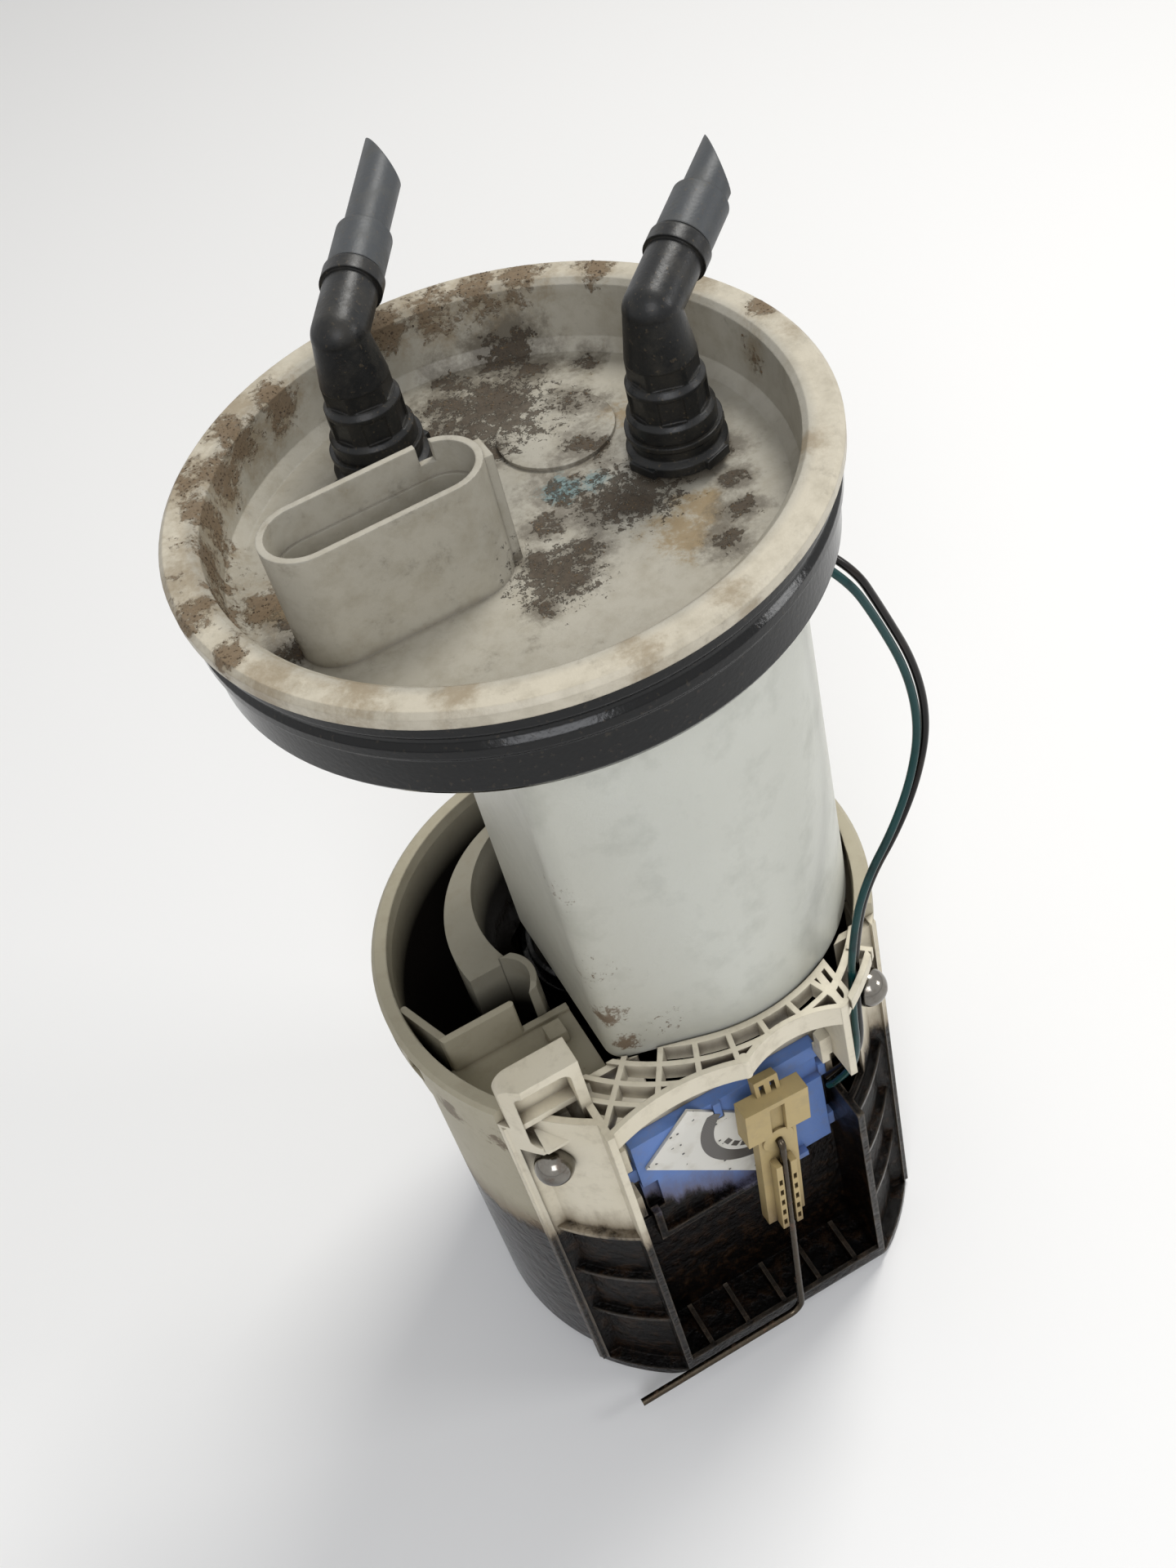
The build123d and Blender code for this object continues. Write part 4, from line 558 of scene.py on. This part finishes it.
# %% Black finishes
def dusty_black(name, base, dust, rough, dusty, grain_mm=0.8, shine=0.5):
    material, tree, surface, place = new_finish(name, IOR=1.5)
    surface.inputs["Specular IOR Level"].default_value = shine
    cloud = add(tree, "ShaderNodeTexNoise", {
        "Vector": place, "Scale": PER_M / 5, "Detail": 6.0, "Roughness": 0.68})
    grit = add(tree, "ShaderNodeTexNoise", {"Vector": place, "Scale": PER_M / grain_mm, "Detail": 4.0})
    lying = add(tree, "ShaderNodeMapRange", {"Value": cloud, 1: 0.46, 2: 0.7, 4: dusty})
    colour = add(tree, "ShaderNodeMix", {0: lying, 6: base, 7: dust}, data_type="RGBA")
    specks = add(tree, "ShaderNodeMapRange", {"Value": grit, 1: 0.62, 2: 0.7, 4: dusty})
    colour = add(tree, "ShaderNodeMix", {0: specks, 6: colour, 7: "#5B5040"}, data_type="RGBA")
    open_sky = add(tree, "ShaderNodeAmbientOcclusion", {"Distance": 2 * MM}, out="AO", samples=6)
    corner = add(tree, "ShaderNodeMapRange", {"Value": open_sky, 1: 0.8, 2: 0.3, 4: dusty})
    colour = add(tree, "ShaderNodeMix", {0: corner, 6: colour, 7: dust}, data_type="RGBA")
    tree.links.new(colour, surface.inputs["Base Color"])
    dull = add(tree, "ShaderNodeMath", {0: lying, 1: 0.4, 2: rough}, operation="MULTIPLY_ADD")
    tree.links.new(dull, surface.inputs["Roughness"])
    edge = add(tree, "ShaderNodeBevel", {"Radius": 0.5 * MM}, samples=4)
    bump = add(tree, "ShaderNodeBump", {"Height": grit, "Distance": 0.05 * MM, "Normal": edge})
    tree.links.new(bump, surface.inputs["Normal"])
    return material


seal_black = dusty_black(
    "wet_nitrile_seal", "#060708", "#151514", rough=0.11, dusty=0.2, grain_mm=1.0, shine=0.28)
elbow_black = dusty_black(
    "glass_filled_polyamide_elbow", "#151617", "#37332B", rough=0.34, dusty=0.4, shine=0.3)
fitting_black = dusty_black("black_acetal_fitting", "#161616", "#3A3730", rough=0.35, dusty=0.3)
hose_grey = dusty_black(
    "polyamide_hose", "#3E4144", "#55544F", rough=0.42, dusty=0.4, grain_mm=0.7, shine=0.3)
dress(seal_black, "gasket", "pump_sleeve")
dress(elbow_black, "supply_elbow", "return_elbow", "supply_collar", "return_collar")
dress(fitting_black, "wire_gland", "pump_outlet_head", "pump_inlet_head", "pump_impeller", "delivery_hose")
dress(hose_grey, "supply_hose_stub", "return_hose_stub")
print("blacks dressed")

# %% [markdown]
# The metals: polished steel for the studs, drawn steel wire browned by varnish for the float's
# rod, tinned contacts, and zinc-plated steel for the pump's case, the clips, the guide rod and
# the spring. Bare metal is told by its base colour and gloss. Rust is a rough brown patch that
# is no longer metal, so it lowers the metal and raises the roughness.

# %% Metal finishes
def plated_steel(name, bright, dull, rough, rust, grain_mm):
    material, tree, surface, place = new_finish(name)
    cloud = add(tree, "ShaderNodeTexNoise", {
        "Vector": place, "Scale": PER_M / grain_mm, "Detail": 5.0, "Roughness": 0.62})
    colour = add(tree, "ShaderNodeMix", {0: cloud, 6: bright, 7: dull}, data_type="RGBA")
    rusty = add(tree, "ShaderNodeMapRange", {"Value": cloud, 1: 0.55, 2: 0.7, 4: rust})
    colour = add(tree, "ShaderNodeMix", {0: rusty, 6: colour, 7: "#5A3B24"}, data_type="RGBA")
    tree.links.new(colour, surface.inputs["Base Color"])
    metal = add(tree, "ShaderNodeMath", {0: 1.0, 1: rusty}, operation="SUBTRACT")
    tree.links.new(metal, surface.inputs["Metallic"])
    shine = add(tree, "ShaderNodeMath", {0: rusty, 1: 0.5, 2: rough}, operation="MULTIPLY_ADD")
    tree.links.new(shine, surface.inputs["Roughness"])
    bump = add(tree, "ShaderNodeBump", {"Height": cloud, "Distance": 0.02 * MM})
    tree.links.new(bump, surface.inputs["Normal"])
    return material


stud_steel = plated_steel("polished_stud_steel", "#8F8C86", "#5C5750", rough=0.16, rust=0.3, grain_mm=3.0)
rod_steel = plated_steel("varnished_rod_steel", "#5A5247", "#2A231A", rough=0.2, rust=0.7, grain_mm=2.5)
tinned = plated_steel("tinned_contact_metal", "#C6C2B4", "#8F897A", rough=0.25, rust=0.15, grain_mm=1.5)
zinc = plated_steel("zinc_plated_steel", "#B4B4B0", "#8C8B86", rough=0.32, rust=0.2, grain_mm=3.0)
dress(stud_steel, "ball_studs")
dress(rod_steel, "float_rod")
dress(tinned, "socket_pins", "wiper_contacts")
dress(zinc, "pump_casing", "pump_shaft", "hose_clip_pump", "hose_clip_flange", "guide_rod",
      "guide_rod_clip", "suspension_spring")
print("metals dressed")

# %% [markdown]
# The sender's board is white alumina ceramic with the resistor printed on it as a dark ink.
# The ink's face is ruled across by fine bright conductor bars, which the contacts run on. Bars
# that stand like spokes follow the angle round the arm's axis, so a sine of it rules them.

# %% Ceramic and printed track
def alumina_board():
    material, tree, surface, place = new_finish("alumina_board", Roughness=0.38, IOR=1.6)
    cloud = add(tree, "ShaderNodeTexNoise", {"Vector": place, "Scale": PER_M / 6, "Detail": 5.0})
    lying = add(tree, "ShaderNodeMapRange", {"Value": cloud, 1: 0.5, 2: 0.7, 4: 0.5})
    colour = add(tree, "ShaderNodeMix", {0: lying, 6: "#DEDCD4", 7: "#B5AE9C"}, data_type="RGBA")
    # Corners and recesses are painted dark brown by the occlusion node: painted shade.
    open_sky = add(tree, "ShaderNodeAmbientOcclusion", {"Distance": 2 * MM}, out="AO", samples=6)
    corner = add(tree, "ShaderNodeMapRange", {"Value": open_sky, 1: 0.8, 2: 0.2, 4: 0.8})
    colour = add(tree, "ShaderNodeMix", {0: corner, 6: colour, 7: "#3B2F20"}, data_type="RGBA")
    # Small black solder dots and trimming cuts, in loose rows.
    cells = add(tree, "ShaderNodeTexVoronoi", {"Vector": place, "Scale": PER_M / 2.4, "Randomness": 0.5},
                out="Distance", distance="CHEBYCHEV")
    choice = add(tree, "ShaderNodeTexNoise", {"Vector": place, "Scale": PER_M / 6})
    dots = add(tree, "ShaderNodeMath", {0: cells, 1: 0.14}, operation="LESS_THAN")
    some = add(tree, "ShaderNodeMath", {0: choice, 1: 0.56}, operation="GREATER_THAN")
    dots = add(tree, "ShaderNodeMath", {0: dots, 1: some}, operation="MULTIPLY")
    colour = colour_laid_over(tree, colour, dots, 0.95, "#1C1A18")
    tree.links.new(colour, surface.inputs["Base Color"])
    return material


ARM_AXIS = (7 * MM, 0.0, -180 * MM)
BAR_STEP = math.radians(1.8)


def resistor_ink():
    material, tree, surface, place = new_finish("resistor_ink", Roughness=0.3)
    parts = add(tree, "ShaderNodeVectorMath", {0: place, 1: ARM_AXIS}, operation="SUBTRACT")
    parts = add(tree, "ShaderNodeSeparateXYZ", {"Vector": parts})
    angle = add(tree, "ShaderNodeMath", {0: parts.node.outputs["Z"], 1: parts.node.outputs["X"]},
                operation="ARCTAN2")
    turn = add(tree, "ShaderNodeMath", {0: angle, 1: math.tau / BAR_STEP}, operation="MULTIPLY")
    ripple = add(tree, "ShaderNodeMath", {0: turn}, operation="SINE")
    bars = add(tree, "ShaderNodeMapRange", {"Value": ripple, 1: 0.2, 2: 0.6, 4: 0.6})
    colour = add(tree, "ShaderNodeMix", {0: bars, 6: "#4A4744", 7: "#77726B"}, data_type="RGBA")
    tree.links.new(colour, surface.inputs["Base Color"])
    return material


dress(alumina_board(), "resistor_board")
dress(resistor_ink(), "resistor_track")
print("board dressed")

# %% [markdown]
# Pieces that hide inside still have their true stuffs: pleated filter paper, ferrite magnets,
# copper windings, carbon brushes and a fine woven strainer.

# %% Hidden pieces
def plain_stuff(name, base, other, grain_mm, rough, metallic=0.0):
    """Two close colours in a cloud of the stuff's own grain."""
    material, tree, surface, place = new_finish(name, Metallic=metallic, Roughness=rough)
    cloud = add(tree, "ShaderNodeTexNoise", {"Vector": place, "Scale": PER_M / grain_mm, "Detail": 5.0})
    colour = add(tree, "ShaderNodeMix", {0: cloud, 6: base, 7: other}, data_type="RGBA")
    tree.links.new(colour, surface.inputs["Base Color"])
    bump = add(tree, "ShaderNodeBump", {"Height": cloud, "Distance": 0.03 * MM})
    tree.links.new(bump, surface.inputs["Normal"])
    return material


paper = plain_stuff("resin_filter_paper", "#C2A878", "#9A8258", grain_mm=0.8, rough=0.9)
ferrite = plain_stuff("ferrite_magnet", "#2E2D2F", "#3F3D3C", grain_mm=1.5, rough=0.6)
copper = plain_stuff("copper_winding", "#A8653A", "#7C4426", grain_mm=0.6, rough=0.35, metallic=1.0)
carbon = plain_stuff("carbon_brush", "#242426", "#38373A", grain_mm=0.5, rough=0.55)
strainer = plain_stuff("woven_polyamide_strainer", "#9E9C8E", "#6F6C5E", grain_mm=0.35, rough=0.8)
dress(paper, "filter_element")
dress(ferrite, "pump_magnets")
dress(copper, "pump_armature")
dress(carbon, "pump_brushes")
dress(strainer, "pump_strainer")
bare = [name for name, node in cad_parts.items()
        if not any(stuff.use_nodes for stuff in node.data.materials if stuff)]
print("nodes without a finish:", bare)

# %% [markdown]
# Loose crumbs of soil lie where the brown patches are. They repeat, so Geometry Nodes strews
# them: points are spread over a CAD node's faces, the same patch rule as in the flange's
# finish says which of them stay, and each that stays becomes a small uneven lump of twenty
# faces. Placing them by hand is slow, and a texture alone would cast no shadows.

# %% A node tree that strews crumbs
CRUMB_REACH = 63.5 * MM  # Half a millimetre inside the rim's edge.
FULL_TURN = 6.28
CRUMB_INPUTS = (
    ("Source", "NodeSocketObject"), ("Density", "NodeSocketFloat"), ("Smallest", "NodeSocketFloat"),
    ("Largest", "NodeSocketFloat"), ("Flatness", "NodeSocketFloat"), ("Lowest Facing", "NodeSocketFloat"),
    ("Seed", "NodeSocketInt"), ("Material", "NodeSocketMaterial"))


def new_tree(name, inputs):
    """An empty tree with named inputs and one geometry output."""
    tree = bpy.data.node_groups.new(name, "GeometryNodeTree")
    for label, kind in inputs:
        tree.interface.new_socket(label, in_out="INPUT", socket_type=kind)
    tree.interface.new_socket("Geometry", in_out="OUTPUT", socket_type="NodeSocketGeometry")
    return tree, add(tree, "NodeGroupInput", out=inputs[0][0]).node.outputs


def crumb_tree(name, spots, grain_mm, limit, top_mm):
    """Strews lumps over Source, inside the torn patches round the spots and under a height."""
    tree, given = new_tree(name, CRUMB_INPUTS)
    source = add(tree, "GeometryNodeObjectInfo", {"Object": given["Source"]}, out="Geometry")
    points = add(tree, "GeometryNodeDistributePointsOnFaces", {
        "Mesh": source, "Density": given["Density"], "Seed": given["Seed"]}, out="Points")
    # A point is dropped where the mask loses against chance, on faces that look down, above the
    # top, and outside the rim.
    place = add(tree, "GeometryNodeInputPosition")
    mask = patches(tree, place, spots, grain_mm, limit)
    chance = add(tree, "FunctionNodeRandomValue", {2: 0.05, 3: 1.0, "Seed": given["Seed"]}, data_type="FLOAT")
    thin = add(tree, "FunctionNodeCompare", {0: mask, 1: chance}, operation="LESS_THAN")
    upward = add(tree, "ShaderNodeVectorMath", {0: points.node.outputs["Normal"], 1: (0, 0, 1)},
                 out="Value", operation="DOT_PRODUCT")
    turned = add(tree, "FunctionNodeCompare", {0: upward, 1: given["Lowest Facing"]}, operation="LESS_THAN")
    height = add(tree, "ShaderNodeSeparateXYZ", {"Vector": place}, out="Z")
    high = add(tree, "FunctionNodeCompare", {0: height, 1: top_mm * MM}, operation="GREATER_THAN")
    drop = add(tree, "FunctionNodeBooleanMath", {0: thin, 1: turned}, operation="OR")
    drop = add(tree, "FunctionNodeBooleanMath", {0: drop, 1: high}, operation="OR")
    flat = add(tree, "ShaderNodeVectorMath", {0: place, 1: (1, 1, 0)}, operation="MULTIPLY")
    off_axis = add(tree, "ShaderNodeVectorMath", {0: flat}, out="Value", operation="LENGTH")
    outside = add(tree, "FunctionNodeCompare", {0: off_axis, 1: CRUMB_REACH}, operation="GREATER_THAN")
    drop = add(tree, "FunctionNodeBooleanMath", {0: drop, 1: outside}, operation="OR")
    left = add(tree, "GeometryNodeDeleteGeometry", {"Geometry": points, "Selection": drop}, domain="POINT")
    # Each point that is left gets a lump of its own size, shape and turn.
    lump = add(tree, "GeometryNodeMeshIcoSphere", {"Radius": 0.5, "Subdivisions": 1}, out="Mesh")
    size = add(tree, "FunctionNodeRandomValue", {
        2: given["Smallest"], 3: given["Largest"], "Seed": 7}, data_type="FLOAT")
    uneven = add(tree, "FunctionNodeRandomValue", {
        0: (0.6, 0.6, 0.6), 1: (1.2, 1.2, 1.2), "Seed": 8}, data_type="FLOAT_VECTOR")
    flat = add(tree, "ShaderNodeCombineXYZ", {"X": 1.0, "Y": 1.0, "Z": given["Flatness"]})
    scale = add(tree, "ShaderNodeVectorMath", {0: uneven, 1: flat}, operation="MULTIPLY")
    scale = add(tree, "ShaderNodeVectorMath", {0: scale, "Scale": size}, operation="SCALE")
    placed = add(tree, "GeometryNodeInstanceOnPoints", {
        "Points": left, "Instance": lump, "Rotation": points.node.outputs["Rotation"], "Scale": scale})
    turn = add(tree, "FunctionNodeRandomValue", {0: (0, 0, 0), 1: (0, 0, FULL_TURN), "Seed": 9},
               data_type="FLOAT_VECTOR")
    spun = add(tree, "GeometryNodeRotateInstances", {"Instances": placed, "Rotation": turn})
    solid = add(tree, "GeometryNodeRealizeInstances", {"Geometry": spun})
    done = add(tree, "GeometryNodeSetMaterial", {"Geometry": solid, "Material": given["Material"]})
    tree.links.new(done, tree.nodes.new("NodeGroupOutput").inputs["Geometry"])
    return tree


# Spots, grain in mm and limit of the two kinds of soil on the flange.
STREWN = {"grime": (GRIME_SPOTS, 5, 0.75), "clay": (CLAY_SPOTS, 6, 0.71)}
CRUMB_TOP_MM = 0.4
crumb_trees = {
    kind: crumb_tree("strew_" + kind, spots, grain_mm, limit, CRUMB_TOP_MM)
    for kind, (spots, grain_mm, limit) in STREWN.items()}
print("nodes in each tree:", {kind: len(tree.nodes) for kind, tree in crumb_trees.items()})

# %% [markdown]
# A tree does nothing until a modifier runs it on an object. Here an empty holder carries the
# modifier, its inputs are set by each socket's identifier, and the outcome is kept as a plain
# mesh. The soil itself is matt and brown, from fine dust to coarse grains, so its colour
# changes within a grain.

# %% Crumbs on the flange
def made_mesh(name, tree, **values):
    """Runs a tree once and keeps its result as a plain mesh."""
    holder = bpy.data.objects.new(name + "_maker", bpy.data.meshes.new(name + "_empty"))
    bpy.context.scene.collection.objects.link(holder)
    modifier = holder.modifiers.new("tree", "NODES")
    modifier.node_group = tree
    chosen = {key.replace("_", " "): value for key, value in values.items()}
    for item in tree.interface.items_tree:
        if item.in_out == "INPUT":
            modifier[item.identifier] = chosen[item.name]
    mesh = as_mesh(holder)
    bpy.data.objects.remove(holder)
    return mesh


def strew(name, body, slot, tree, **values):
    """Crumbs as a piece that rides a body."""
    piece = bpy.data.objects.new(name, made_mesh(name, tree, **values))
    bpy.context.scene.collection.objects.link(piece)
    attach(piece, body)
    print(name, "faces:", len(piece.data.polygons))


def dry_soil():
    material, tree, surface, place = new_finish("dry_soil", Roughness=0.9)
    grain = add(tree, "ShaderNodeTexNoise", {"Vector": place, "Scale": PER_M / 1.2, "Detail": 4.0})
    amount = add(tree, "ShaderNodeMapRange", {"Value": grain, 1: 0.35, 2: 0.65})
    colour = add(tree, "ShaderNodeMix", {0: amount, 6: "#352B20", 7: "#6E5D47"}, data_type="RGBA")
    tree.links.new(colour, surface.inputs["Base Color"])
    return material


soil = dry_soil()
FLANGE_CRUMBS_PER_M2 = 1.3e6
for kind, tree in crumb_trees.items():
    strew(kind + "_crumbs", "flange_unit", "flange_plastic", tree, Source=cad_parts["flange"],
          Density=FLANGE_CRUMBS_PER_M2, Smallest=0.15 * MM, Largest=0.6 * MM, Flatness=0.6,
          Lowest_Facing=-0.1, Seed=4, Material=soil)

# %% [markdown]
# The elbows carry a little of the same soil in their windows and on their shoulders. Each
# elbow can swivel, so its crumbs are a piece of their own that rides on that elbow's body.

# %% Crumbs on the elbows
ELBOW_SPOTS = {
    "supply_line": ("supply_elbow", [(41, -7, -8, 10), (44, 0, 3, 10), (30, -10, -12, 9)]),
    "return_line": ("return_elbow", [
        (-5, 29, -10, 12), (-4, 33, -3, 11), (-2, 38, 5, 11), (-18, 24, -12, 8)])}
ELBOW_TOP_MM = 12.0
ELBOW_CRUMBS_PER_M2 = 6.0e5
for body, (node, spots) in ELBOW_SPOTS.items():
    elbow_tree = crumb_tree("strew_" + node, spots, grain_mm=4, limit=0.66, top_mm=ELBOW_TOP_MM)
    strew(node + "_soil", body, "black_plastic", elbow_tree, Source=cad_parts[node],
          Density=ELBOW_CRUMBS_PER_M2, Smallest=0.2 * MM, Largest=0.7 * MM, Flatness=0.5,
          Lowest_Facing=0.1, Seed=11, Material=soil)

# %% [markdown]
# The suspension's spring and the pump's convoluted hose get shorter when the flange sinks. Each
# is made again here as a mesh that takes the place of its CAD node. Both are simple rules along
# a line, a helix and a row of rings, so Geometry Nodes make them: the wire or the wall is a
# circle swept along a curve.

# %% The spring, wound as a helix
SPRING_TURNS = 7.0
SPRING_WIRE = 0.8 * MM
POINTS_PER_TURN = 24


def swept_tree(tree, given, line, scale, round_faces):
    """Sweeps a circle along a line, gives it a material and ends the tree."""
    ring = add(tree, "GeometryNodeCurvePrimitiveCircle", {"Resolution": round_faces, "Radius": 1.0},
               out="Curve")
    sized = add(tree, "GeometryNodeSetCurveRadius", {"Curve": line, "Radius": scale})
    radius = add(tree, "GeometryNodeInputRadius")
    swept = add(tree, "GeometryNodeCurveToMesh", {
        "Curve": sized, "Profile Curve": ring, "Scale": radius, "Fill Caps": True})
    smooth = add(tree, "GeometryNodeSetShadeSmooth", {"Geometry": swept})
    moved = add(tree, "GeometryNodeTransform", {"Geometry": smooth, "Translation": given["Place"]})
    solid = add(tree, "GeometryNodeRealizeInstances", {"Geometry": moved})
    done = add(tree, "GeometryNodeSetMaterial", {"Geometry": solid, "Material": given["Material"]})
    tree.links.new(done, tree.nodes.new("NodeGroupOutput").inputs["Geometry"])


def spring_tree():
    tree, given = new_tree("wind_spring", (
        ("Turns", "NodeSocketFloat"), ("Radius", "NodeSocketFloat"), ("Wire", "NodeSocketFloat"),
        ("Height", "NodeSocketFloat"), ("Place", "NodeSocketVector"), ("Material", "NodeSocketMaterial")))
    helix = add(tree, "GeometryNodeCurveSpiral", {
        "Resolution": POINTS_PER_TURN, "Rotations": given["Turns"], "Start Radius": given["Radius"],
        "End Radius": given["Radius"], "Height": given["Height"]}, out="Curve")
    swept_tree(tree, given, helix, given["Wire"], round_faces=10)
    return tree


def bending_piece(name, node, slot, tree, start_z, end_z, **values):
    """Runs a tree; the mesh takes the place of a CAD node."""
    piece = bpy.data.objects.new(name, made_mesh(name, tree, **values))
    bpy.context.scene.collection.objects.link(piece)
    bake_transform(piece)
    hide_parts(node)
    print(name, "faces:", len(piece.data.polygons))


def upright(node):
    """Axis x and y, foot, top and radius of a CAD node that stands upright."""
    low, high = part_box(node)
    return (low[0] + high[0]) / 2, (low[1] + high[1]) / 2, low[2], high[2], (high[0] - low[0]) / 2


x, y, foot, top, radius = upright("suspension_spring")
bending_piece("pot_spring", "suspension_spring", "bright_steel", spring_tree(), foot, top,
              Turns=SPRING_TURNS, Radius=radius - SPRING_WIRE, Wire=SPRING_WIRE,
              Height=top - foot - 2 * SPRING_WIRE, Place=(x, y, foot + SPRING_WIRE), Material=zinc)

# %% [markdown]
# The hose is a straight line of points whose radius rises and falls once for each ring; its
# two smooth cuffs keep one radius and stay rigid on the pump's and the flange's nipples.

# %% The convoluted hose
HOSE_RINGS = 22.0
HOSE_POINTS = 265
RING_DEPTH = 1.4 * MM
CUFF = 12 * MM


def hose_tree():
    tree, given = new_tree("ring_hose", (
        ("Rings", "NodeSocketFloat"), ("Radius", "NodeSocketFloat"), ("Swell", "NodeSocketFloat"),
        ("Height", "NodeSocketFloat"), ("Cuff", "NodeSocketFloat"), ("Place", "NodeSocketVector"),
        ("Material", "NodeSocketMaterial")))
    top = add(tree, "ShaderNodeCombineXYZ", {"Z": given["Height"]})
    line = add(tree, "GeometryNodeCurvePrimitiveLine", {"Start": (0, 0, 0), "End": top}, out="Curve")
    points = add(tree, "GeometryNodeResampleCurve", {"Curve": line, "Count": HOSE_POINTS})
    along = add(tree, "GeometryNodeInputPosition")
    along = add(tree, "ShaderNodeSeparateXYZ", {"Vector": along}, out="Z")
    last = add(tree, "ShaderNodeMath", {0: given["Height"], 1: given["Cuff"]}, operation="SUBTRACT")
    share = add(tree, "ShaderNodeMapRange", {"Value": along, 1: given["Cuff"], 2: last})
    turns = add(tree, "ShaderNodeMath", {0: share, 1: given["Rings"]}, operation="MULTIPLY")
    turns = add(tree, "ShaderNodeMath", {0: turns, 1: math.tau}, operation="MULTIPLY")
    wave = add(tree, "ShaderNodeMath", {0: turns}, operation="COSINE")
    rise = add(tree, "ShaderNodeMapRange", {
        "Value": wave, 1: 1.0, 2: -1.0, 3: given["Radius"], 4: given["Swell"]})
    swept_tree(tree, given, points, rise, round_faces=28)
    return tree


x, y, foot, top, radius = upright("delivery_hose")
bending_piece("pump_hose", "delivery_hose", "hose_plastic", hose_tree(), foot + CUFF, top - CUFF,
              Rings=HOSE_RINGS, Radius=radius - RING_DEPTH, Swell=radius, Height=top - foot, Cuff=CUFF,
              Place=(x, y, foot), Material=fitting_black)

# %% [markdown]
# A studio of large soft lamps. In the photograph the brightest streaks lie on the right and
# far side of every round part and the left sides fall off, so the key lamp stands at the back
# right, with a weaker one over the camera's shoulder. Floor and world are white to the camera.

# %% Floor, lamps and world
FLOOR_Z = cad_box[0][2] - 0.4 * MM
FLOOR_HALF = 3.0
LOOK_AT = Vector((0, 0, -0.1))
FILL = 0.36  # Even light that also reaches the shadows.
corners = [(-1, -1), (1, -1), (1, 1), (-1, 1)]
floor_mesh = bpy.data.meshes.new("studio_floor")
floor_mesh.from_pydata([(x * FLOOR_HALF, y * FLOOR_HALF, FLOOR_Z) for x, y in corners], [], [(0, 1, 2, 3)])
floor = bpy.data.objects.new("studio_floor", floor_mesh)
bpy.context.scene.collection.objects.link(floor)
floor_material, _, floor_surface, _ = new_finish("white_studio_floor", Roughness=0.9)
floor_surface.inputs["Base Color"].default_value = linear("#F4F4F4")
floor_mesh.materials.append(floor_material)


def lamp(name, place, size, watts, colour="#FFFFFF"):
    """A square soft lamp that looks at the middle of the unit."""
    data = bpy.data.lights.new(name, "AREA")
    data.shape = "SQUARE"
    data.size = size
    data.energy = watts
    data.color = linear(colour)[:3]
    thing = bpy.data.objects.new(name, data)
    way = LOOK_AT - Vector(place)
    thing.matrix_world = Matrix.Translation(place) @ way.to_track_quat("-Z", "Y").to_matrix().to_4x4()
    bpy.context.scene.collection.objects.link(thing)


lamp("key_lamp", (0.65, 0.35, 1.05), size=0.45, watts=11.0, colour="#FFFDF8")
lamp("front_lamp", (-0.35, -0.95, 0.75), size=0.6, watts=6.5, colour="#F8FAFF")
lamp("right_lamp", (0.95, -0.55, 0.35), size=0.3, watts=2.5)

world = bpy.data.worlds.new("studio_world")
bpy.context.scene.world = world
world.use_nodes = True
sky = world.node_tree
sky.nodes.clear()
rays = add(sky, "ShaderNodeLightPath", out="Is Camera Ray").node.outputs
white = add(sky, "ShaderNodeMath", {0: rays["Is Camera Ray"], 1: rays["Is Glossy Ray"]}, operation="MAXIMUM")
white = add(sky, "ShaderNodeMath", {0: white, 1: rays["Is Transmission Ray"]}, operation="MAXIMUM")
strength = add(sky, "ShaderNodeMath", {0: white, 1: FILL}, operation="MAXIMUM")
light = add(sky, "ShaderNodeBackground", {"Color": "#FFFFFF", "Strength": strength})
add(sky, "ShaderNodeOutputWorld", {"Surface": light})
bpy.context.scene.view_settings.view_transform = "Standard"
print("lamps:", sorted(bpy.data.lights.keys()))

# %% [markdown]
# Nothing that was added may make the unit bigger than its solids, so the box of the CAD nodes
# is written down.

# %% Sizes and finish
print("box of the solids:", [[round(c, 4) for c in p] for p in cad_box])
